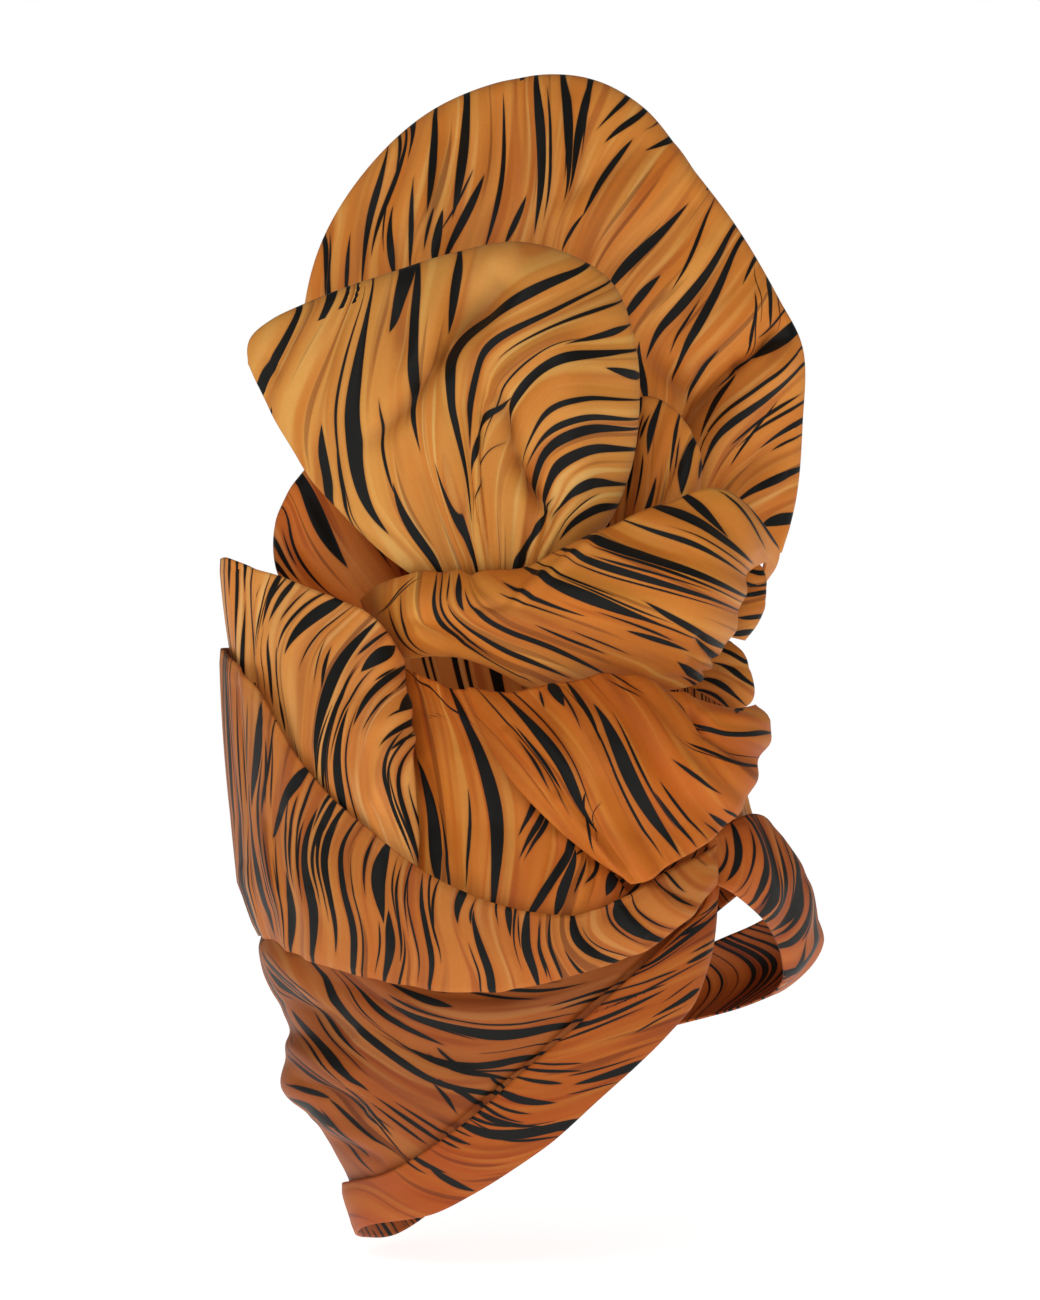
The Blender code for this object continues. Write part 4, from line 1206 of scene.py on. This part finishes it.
def smooth_line(row, count=17):
    """A row of the run table as a smooth line, carried on at both ends."""
    points = np.array(row, float).reshape(-1, 2)
    ends = np.vstack([2 * points[0] - points[1], points, 2 * points[-1] - points[-2]])
    line = []
    for k in range(len(points) - 1):
        p0, p1, p2, p3 = ends[k : k + 4]
        t = np.linspace(0.0, 1.0, count // 4, endpoint=False)[:, None]
        line.append(0.5 * (2 * p1 + (p2 - p0) * t + (2 * p0 - 5 * p1 + 4 * p2 - p3) * t**2 + (3 * p1 - p0 - 3 * p2 + p3) * t**3))
    line = np.vstack([*line, points[-1:]])
    first, last = line[0] - line[1], line[-1] - line[-2]
    first, last = first / np.linalg.norm(first), last / np.linalg.norm(last)
    return np.vstack([line[:1] + first * 900.0, line, line[-1:] + last * 900.0])


def run_fields(name):
    """A function from drawn points to (across the stripes, along them), in squares."""
    lines = [smooth_line(row) for row in RUNS[name]]
    lengths = []
    for line in lines:
        step = np.linalg.norm(np.diff(line, axis=0), axis=1)
        run = np.concatenate([[0.0], np.cumsum(step)])
        lengths.append(run - 900.0)
    places = [0.0]
    for a, b in zip(lines, lines[1:]):
        gap = np.sort([np.min(np.hypot(*(b[1:-1] - p).T)) for p in a[1:-1]])
        places.append(places[-1] + float(gap[len(gap) // 2 :].mean()))
    turn = 1.0
    if len(lines) > 1:  # across grows from the first row to the last
        middle = lines[0][len(lines[0]) // 2]
        ahead = lines[0][len(lines[0]) // 2 + 1] - middle
        off = lines[1][len(lines[1]) // 2] - middle
        turn = 1.0 if ahead[0] * off[1] - ahead[1] * off[0] > 0 else -1.0

    def fields(x, y):
        shape = np.shape(x)
        x, y = np.ravel(x).astype(float), np.ravel(y).astype(float)
        top, low, total = np.zeros(x.shape), np.zeros(x.shape), np.zeros(x.shape)
        for line, run, place in zip(lines, lengths, places):
            best = np.full(x.shape, np.inf)
            side, along = np.zeros(x.shape), np.zeros(x.shape)
            for k in range(len(line) - 1):
                (x1, y1), (x2, y2) = line[k], line[k + 1]
                away, t = near_line(x, y, x1, y1, x2, y2)
                cross = (x2 - x1) * (y - y1) - (y2 - y1) * (x - x1)
                nearer = away < best
                best = np.where(nearer, away, best)
                side = np.where(nearer, np.sign(cross), side)
                along = np.where(nearer, run[k] + t * (run[k + 1] - run[k]), along)
            beyond = np.maximum(-along, along - (run[-1] - 900.0))
            weight = 1.0 / (best + 0.45 * np.maximum(beyond, 0.0) + 2.5) ** 3
            total += weight
            top += weight * (place + turn * side * best)
            low += weight * along
        return (top / total).reshape(shape), (low / total).reshape(shape)

    return fields


def eased(values, times):
    """Averages each point with its neighbours, so that the run has no kinks."""
    for _ in range(times):
        for axis in (0, 1):
            near = np.swapaxes(values, 0, axis)
            out = near.copy()
            out[1:-1] = 0.25 * near[:-2] + 0.5 * near[1:-1] + 0.25 * near[2:]
            values = np.swapaxes(out, 0, axis)
    return values


def lay_stripes(across, along, stripes, fillers=(), open_to=None, count=LAYERS):
    """The stripes as layers of (how far off its middle line, half its width) in
    squares.  Stripes that pass close by each other go on different layers, so
    both numbers run smoothly over the cloth between two points.  Fillers go
    only where open_to is true and no other stripe is near."""
    far = 99.0
    layers = [[np.full(across.shape, far), np.full(across.shape, -far), np.full(across.shape, far)] for _ in range(count)]
    held = [[] for _ in range(count)]
    queue = [(row, False) for row in sorted(stripes, key=lambda row: -row[4])]
    queue += [(row, True) for row in sorted(fillers, key=lambda row: -row[4])]
    for (p1, q1, p2, q2, width, fullest), filler in queue:
        span = q2 - q1
        if abs(span) < 2.0:
            continue
        low_p, high_p, low_q, high_q = min(p1, p2), max(p1, p2), min(q1, q2), max(q1, q2)
        room = []
        for k in range(count):
            gaps = [9999.0]
            for other in held[k]:
                if low_q - 14 < other[3] and other[2] < high_q + 14:
                    gaps.append(max(low_p - other[1], other[0] - high_p, 0.0))
            room.append(min(gaps))
        k = int(np.argmax(room))
        if (room[k] < 7.0 and width < 7.0) or (filler and min(room) < width / 2 + 5.0):
            continue
        held[k].append((low_p - width / 2, high_p + width / 2, low_q, high_q))
        reach = width / 2 + 4.0  # beyond it the cloth only knows that it is far off
        near = (across > low_p - reach) & (across < high_p + reach) & (along > low_q - 14) & (along < high_q + 14)
        if filler:
            near &= open_to
        t = (along[near] - q1) / span
        inside = np.clip(t, 0.0, 1.0)
        swell = np.where(inside < fullest, inside / max(fullest, 1e-3), (1 - inside) / max(1 - fullest, 1e-3))
        half = 0.5 * width * np.sin(np.pi / 2 * np.clip(swell, 0.0, 1.0)) ** 0.8 - np.abs(t - inside) * abs(span) * 0.5
        off = across[near] - (p1 + (p2 - p1) * inside)
        side, size, best = layers[k]
        closer = np.abs(off) - half < best[near]
        spots = np.flatnonzero(near)[closer]
        side.flat[spots], size.flat[spots] = off[closer], half[closer]
        best.flat[spots] = (np.abs(off) - half)[closer]
    return [(side, size) for side, size, _ in layers]


def accompanied(rng, stripes, share):
    """The stripes, and beside some of them a fine line that follows them."""
    lines = []
    for p1, q1, p2, q2, width, fullest in stripes:
        for side in (-1.0, 1.0):
            if rng.uniform() < share:
                away = side * (width / 2 + rng.uniform(4.5, 10.0))
                shift, grow = rng.uniform(-0.3, 0.3), rng.uniform(0.6, 1.15)
                middle, span = (q1 + q2) / 2 + shift * (q2 - q1), (q2 - q1) * grow
                thin = rng.choice([2.2, 2.8, 3.6])
                lines.append((p1 + away, middle - span / 2, p2 + away, middle + span / 2, thin, rng.uniform(0.3, 0.7)))
    return list(stripes) + lines


def scattered(rng, low_p, high_p, low_q, high_q):
    """Bold and fine stripes for cloth that the drawing doesn't show."""
    stripes, p = [], low_p
    while p < high_p:
        q = low_q - rng.uniform(0, 120)
        while q < high_q:
            length = rng.uniform(60, 190)
            width = rng.choice([3.5, 5.0, 8.0, 11.0], p=[0.3, 0.3, 0.27, 0.13])
            shift = rng.uniform(-5, 5)
            stripes.append((p + shift, q, p + shift + rng.uniform(-4, 4), q + length, width, rng.uniform(0.3, 0.7)))
            q += length + rng.uniform(-10, 60)
        p += rng.uniform(9, 17)
    return stripes


def ink_fields(name, surface, x, y, fields):
    """Across and along of each point, and its layers of stripes, in squares."""
    seen = FAR_TURN if name == "far_roll" else SEEN_TURN
    if name in RINGS:
        x = rolled(surface, x, seen)
    across, along = (eased(values, EASE) for values in fields(x, y))
    rows = []
    for x1, y1, x2, y2, width, fullest in STRIPES[name]:
        (p1, p2), (q1, q2) = fields(np.array([x1, x2]), np.array([y1, y2]))
        dp, dq = CARRY * (p2 - p1), CARRY * (q2 - q1)
        rows.append((p1 - dp, q1 - dq, p2 + dp, q2 + dq, width * PRINTS[name][0], fullest))
    rng = np.random.default_rng(sorted(RUNS).index(name) + 60)
    rows = accompanied(rng, rows, PRINTS[name][1])
    if name in COVERED:  # the side away from the eye, and what other pieces cover
        low_x, high_x, low_y = COVERED[name]
        bare = (outward(name, surface)[1] < 0.5) | ((x > low_x) & (x < high_x) & (y > low_y))
        p, q = across[bare], along[bare]
        fillers = scattered(rng, p.min(), p.max(), q.min(), q.max())
        layers = lay_stripes(across, along, rows, fillers, bare)
    else:
        layers = lay_stripes(across, along, rows)
    if name in RINGS and RINGS[name][1]:  # the unseen side carries on with stripes of its own
        turn = np.degrees(np.arctan2(surface[..., 0], surface[..., 2]))
        unseen = np.abs(turn) > seen + 4
        if name == "hem":  # its own slant there, matched where the two sides meet
            slant = 0.5 * x + 0.87 * y, 0.87 * x - 0.5 * y
            meet = np.abs(np.abs(turn) - seen - 4) < 4
            across = np.where(unseen, slant[0] + (across - slant[0])[meet].mean(), across)
            along = np.where(unseen, slant[1] + (along - slant[1])[meet].mean(), along)
        rng = np.random.default_rng(sorted(RUNS).index(name) + 20)
        p, q = across[unseen], along[unseen]
        own = lay_stripes(across, along, scattered(rng, p.min(), p.max(), q.min(), q.max()))
        layers = [
            (np.where(unseen, a[0], b[0]), np.where(unseen, a[1], b[1])) for a, b in zip(own, layers)
        ]
    return across, along, layers

# -------------------------------------------------------------- materials ---
def node(tree, kind, **values):
    made = tree.nodes.new(kind)
    for key, value in values.items():
        if key in made.inputs:
            made.inputs[key].default_value = value
        else:
            setattr(made, key, value)
    return made


def printed_cloth(name, rust, red, green, blue):
    """Sateen printed with stripes: ink from the mesh, streaks along the run, and painted shade, darker in the creases
    and piece by piece.
    """
    material = bpy.data.materials.new(name + "_print_with_painted_shade")
    material.use_nodes = True
    tree = material.node_tree
    link = tree.links.new
    shader = tree.nodes["Principled BSDF"]
    seed = sorted(RUNS).index(name) * 3.7

    run = node(tree, "ShaderNodeAttribute", attribute_name="run")  # mm across, mm along
    split = node(tree, "ShaderNodeSeparateXYZ")
    link(run.outputs["Vector"], split.inputs[0])

    def math_node(kind, a, b=None, c=None):
        made = node(tree, "ShaderNodeMath", operation=kind)
        for i, value in enumerate((a, b, c)):
            if value is None:
                continue
            if isinstance(value, (int, float)):
                made.inputs[i].default_value = value
            else:
                link(value, made.inputs[i])
        return made.outputs[0]

    def streaks(across, along, shift, detail=2.0, warp=0.0):
        """Noise drawn out along the stripes; sizes are in mm."""
        place = node(tree, "ShaderNodeCombineXYZ")
        link(math_node("MULTIPLY", split.outputs[0], 1.0 / across), place.inputs[0])
        link(math_node("MULTIPLY", split.outputs[1], 1.0 / along), place.inputs[1])
        place.inputs[2].default_value = seed + shift
        made = node(tree, "ShaderNodeTexNoise", Scale=1.0, Detail=detail, Roughness=0.55, Distortion=warp)
        link(place.outputs[0], made.inputs["Vector"])
        return made.outputs["Fac"]

    def between(value, low, high):
        made = node(tree, "ShaderNodeMapRange", interpolation_type="SMOOTHSTEP")
        link(value, made.inputs["Value"])
        made.inputs["From Min"].default_value = low
        made.inputs["From Max"].default_value = high
        return made.outputs["Result"]

    def blend(share, under, over):
        made = node(tree, "ShaderNodeMix", data_type="RGBA")
        if isinstance(share, (int, float)):
            made.inputs[0].default_value = share
        else:
            link(share, made.inputs[0])
        for i, value in ((6, under), (7, over)):
            if isinstance(value, tuple):
                made.inputs[i].default_value = (*value, 1.0)
            else:
                link(value, made.inputs[i])
        return made.outputs[2]

    # painted light and shade: each piece's multipliers darken or brighten its cloth for the light it gets, on top of
    # its own tone
    def shade(r, g, b):
        return (r * red, g * green, b * blue)

    base = blend(between(streaks(11.0, 130.0, 0.0), 0.34, 0.66), shade(0.72, 0.235, 0.038), shade(0.80, 0.33, 0.075))
    broad = between(streaks(8.5, 100.0, 11.0), 0.56 - 0.16 * rust, 0.74 - 0.14 * rust)
    base = blend(math_node("MULTIPLY", broad, 0.35 + 0.5 * rust), base, shade(0.42, 0.115, 0.026))
    rusty = between(streaks(5.6, 80.0, 23.0, 1.0), 0.57, 0.70)
    base = blend(math_node("MULTIPLY", rusty, 0.55 + 0.3 * rust), base, shade(0.50, 0.125, 0.024))
    gold = between(streaks(4.6, 90.0, 37.0, 1.0), 0.52, 0.72)
    base = blend(math_node("MULTIPLY", gold, 0.62 - 0.30 * rust), base, shade(0.90, 0.46, 0.13))
    pale = between(streaks(2.9, 70.0, 51.0, 0.0), 0.62, 0.80)
    base = blend(math_node("MULTIPLY", pale, 0.55 - 0.25 * rust), base, shade(0.95, 0.60, 0.22))
    fine = between(streaks(3.1, 75.0, 67.0, 0.0), 0.70, 0.77)
    base = blend(math_node("MULTIPLY", fine, 0.45 + 0.4 * rust), base, shade(0.20, 0.050, 0.014))

    # the yarns: a fine grain that follows the cloth, and a slow drift of tone
    yarn = node(tree, "ShaderNodeTexNoise", Scale=2600.0, Detail=1.0)
    spot = node(tree, "ShaderNodeTexCoord")
    link(spot.outputs["Object"], yarn.inputs["Vector"])
    slub = node(tree, "ShaderNodeTexNoise", Scale=620.0, Detail=2.0)
    link(spot.outputs["Object"], slub.inputs["Vector"])
    tone = math_node("ADD", math_node("MULTIPLY", yarn.outputs["Fac"], 0.14), math_node("MULTIPLY", slub.outputs["Fac"], 0.10))
    tone = math_node("ADD", tone, 0.88)
    grain = node(tree, "ShaderNodeMix", data_type="RGBA", blend_type="MULTIPLY")
    grain.inputs[0].default_value = 1.0
    link(base, grain.inputs[6])
    link(tone, grain.inputs[7])

    # inside a stripe where its half width is more than the way to its middle;
    # the edge wanders a little with the yarns
    edge = None
    for k in range(LAYERS):
        layer = node(tree, "ShaderNodeAttribute", attribute_name="stripes_%d" % k)
        parts = node(tree, "ShaderNodeSeparateXYZ")
        link(layer.outputs["Vector"], parts.inputs[0])
        depth = math_node("SUBTRACT", parts.outputs[1], math_node("ABSOLUTE", parts.outputs[0]))
        edge = depth if edge is None else math_node("MAXIMUM", edge, depth)
    edge = math_node("ADD", edge, math_node("MULTIPLY", math_node("SUBTRACT", streaks(2.6, 22.0, 83.0), 0.5), 0.9))
    halo = between(edge, -2.6, 0.4)
    printed = blend(math_node("MULTIPLY", halo, 0.28), grain.outputs[2], shade(0.30, 0.085, 0.020))
    # painted shade: valleys darkened by their depth, standing in for the shadow in the creases
    painted_shade_node = node(tree, "ShaderNodeAttribute", attribute_name="painted_crease_shade")
    printed = blend(math_node("MULTIPLY", painted_shade_node.outputs["Fac"], 0.62), printed, shade(0.16, 0.030, 0.006))
    dark = between(edge, -0.35, 0.45)
    printed = blend(dark, printed, (0.0052, 0.0050, 0.0036))
    link(printed, shader.inputs["Base Color"])

    weave = math_node("ADD", math_node("MULTIPLY", yarn.outputs["Fac"], 0.6), math_node("MULTIPLY", slub.outputs["Fac"], 0.4))
    bump = node(tree, "ShaderNodeBump", Strength=0.16, Distance=0.00025)
    link(weave, bump.inputs["Height"])
    link(bump.outputs[0], shader.inputs["Normal"])
    rough = math_node("ADD", math_node("MULTIPLY", slub.outputs["Fac"], 0.12), 0.50)
    link(rough, shader.inputs["Roughness"])
    shader.inputs["Specular IOR Level"].default_value = 0.20
    shader.inputs["Sheen Weight"].default_value = 0.05
    shader.inputs["Sheen Roughness"].default_value = 0.45
    shader.inputs["Sheen Tint"].default_value = (1.0, 0.82, 0.62, 1.0)
    return material


# ------------------------------------------------------------------ build ---
def cloth_piece(name):
    surface = cloth_surface(name)
    x, y = drawn(surface)
    fields = run_fields(name)
    across, along, layers = ink_fields(name, surface, x, y, fields)
    moved, painted_crease_shade, edge = creased(name, surface, x, y, across, along)
    points = to_world(moved)
    rows, cols = points.shape[:2]
    wall = HEM if name == "hem" else CLOTH
    mesh = bpy.data.meshes.new(name + "_cloth")
    at = np.arange(rows * cols).reshape(rows, cols)
    faces = np.stack([at[:-1, :-1], at[1:, :-1], at[1:, 1:], at[:-1, 1:]], -1).reshape(-1, 4)
    mesh.from_pydata(points.reshape(-1, 3).tolist(), [], faces.tolist())
    mesh.shade_smooth()
    run = mesh.attributes.new("run", "FLOAT_VECTOR", "POINT")
    squares = GRID * 1000.0
    flow = np.stack([across * squares, along * squares, np.zeros(across.shape)], -1)
    run.data.foreach_set("vector", flow.reshape(-1).astype(np.float32))
    for k, (off, half) in enumerate(layers):
        layer = np.stack([off, half, np.zeros(off.shape)], -1).reshape(-1).astype(np.float32)
        mesh.attributes.new("stripes_%d" % k, "FLOAT_VECTOR", "POINT").data.foreach_set("vector", layer)
    # the painted shade in the creases, handed on to the material
    mesh.attributes.new("painted_crease_shade", "FLOAT", "POINT").data.foreach_set("value", painted_crease_shade.reshape(-1).astype(np.float32))
    item = bpy.data.objects.new(name + "_cloth", mesh)
    bpy.context.scene.collection.objects.link(item)
    body = item.vertex_groups.new(name="body")  # full wall, worn thin at the edges
    for level in np.unique(edge):
        body.add(np.flatnonzero(edge.reshape(-1) == level).tolist(), float(level), "REPLACE")
    mesh.materials.append(printed_cloth(name, *TONES_AND_PAINTED_SHADE[name]))
    solid = item.modifiers.new("wall", "SOLIDIFY")
    solid.thickness = wall
    solid.offset = 0.0
    solid.use_even_offset = False
    solid.vertex_group = "body"
    solid.thickness_vertex_group = 0.45
    solid.use_quality_normals = True
    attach(item, "root")
    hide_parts(name)
    return item


def soft_light(name, place, aim, size, power, colour):
    lamp = bpy.data.lights.new(name, "AREA")
    lamp.shape = "RECTANGLE"
    lamp.size, lamp.size_y = size
    lamp.energy = power
    lamp.color = colour
    item = bpy.data.objects.new(name, lamp)
    bpy.context.scene.collection.objects.link(item)
    item.location = place
    item.rotation_euler = (Vector(aim) - Vector(place)).to_track_quat("-Z", "Y").to_euler()
    return item


def around(across, up, out):
    """A place given as metres right of, above and in front of the crown, seen from the eye."""
    return tuple(float(v) for v in to_world(np.array([across, up, out])))


def set_stage():
    scene = bpy.context.scene
    eye = GRID * (EYE_X - AXIS_X), -GRID * (EYE_Y - CROWN_Y)
    camera = bpy.data.cameras.new("camera")
    camera.sensor_width = 36.0
    camera.lens = 36.0 * EYE_DISTANCE / (1300 * GRID)
    camera.clip_start = 0.05
    item = bpy.data.objects.new("camera", camera)
    scene.collection.objects.link(item)
    item.location = around(eye[0], eye[1], EYE_DISTANCE)
    item.rotation_euler = (Vector(around(eye[0], eye[1], 0.0)) - item.location).to_track_quat("-Z", "Y").to_euler()
    scene.camera = item

    world = bpy.data.worlds.new("studio")
    world.use_nodes = True
    sky = world.node_tree
    back = sky.nodes["Background"]
    back.inputs["Color"].default_value = (1.0, 1.0, 1.0, 1.0)
    back.inputs["Strength"].default_value = 0.17
    paper_white = node(sky, "ShaderNodeBackground", Color=(1.0, 1.0, 1.0, 1.0), Strength=1.0)
    ray = node(sky, "ShaderNodeLightPath")
    either = node(sky, "ShaderNodeMixShader")
    sky.links.new(ray.outputs["Is Camera Ray"], either.inputs[0])
    sky.links.new(back.outputs[0], either.inputs[1])
    sky.links.new(paper_white.outputs[0], either.inputs[2])
    sky.links.new(either.outputs[0], sky.nodes["World Output"].inputs["Surface"])
    scene.world = world
    scene.view_settings.view_transform = "Standard"
    scene.view_settings.look = "None"
    scene.view_settings.exposure = 0.0

    soft_light("key", around(-0.35, 0.75, 1.15), (0, 0, 0), (0.9, 0.7), 4.9, (1.0, 0.985, 0.96))
    soft_light("front", around(0.25, 0.15, 1.5), (0, 0, 0), (0.8, 0.8), 1.9, (1.0, 0.99, 0.97))

    floor = bpy.data.meshes.new("floor")
    low = -0.2135
    floor.from_pydata([(-9, -9, low), (9, -9, low), (9, 9, low), (-9, 9, low)], [], [(0, 1, 2, 3)])
    paper = bpy.data.materials.new("paper")
    paper.use_nodes = True
    shader = paper.node_tree.nodes["Principled BSDF"]
    shader.inputs["Base Color"].default_value = (0.86, 0.86, 0.86, 1.0)
    shader.inputs["Roughness"].default_value = 0.9
    shader.inputs["Emission Color"].default_value = (1.0, 1.0, 1.0, 1.0)
    shader.inputs["Emission Strength"].default_value = 0.87
    floor.materials.append(paper)
    sheet = bpy.data.objects.new("floor", floor)
    scene.collection.objects.link(sheet)


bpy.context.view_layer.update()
for piece_name in sorted(RUNS):
    cloth_piece(piece_name)
set_stage()
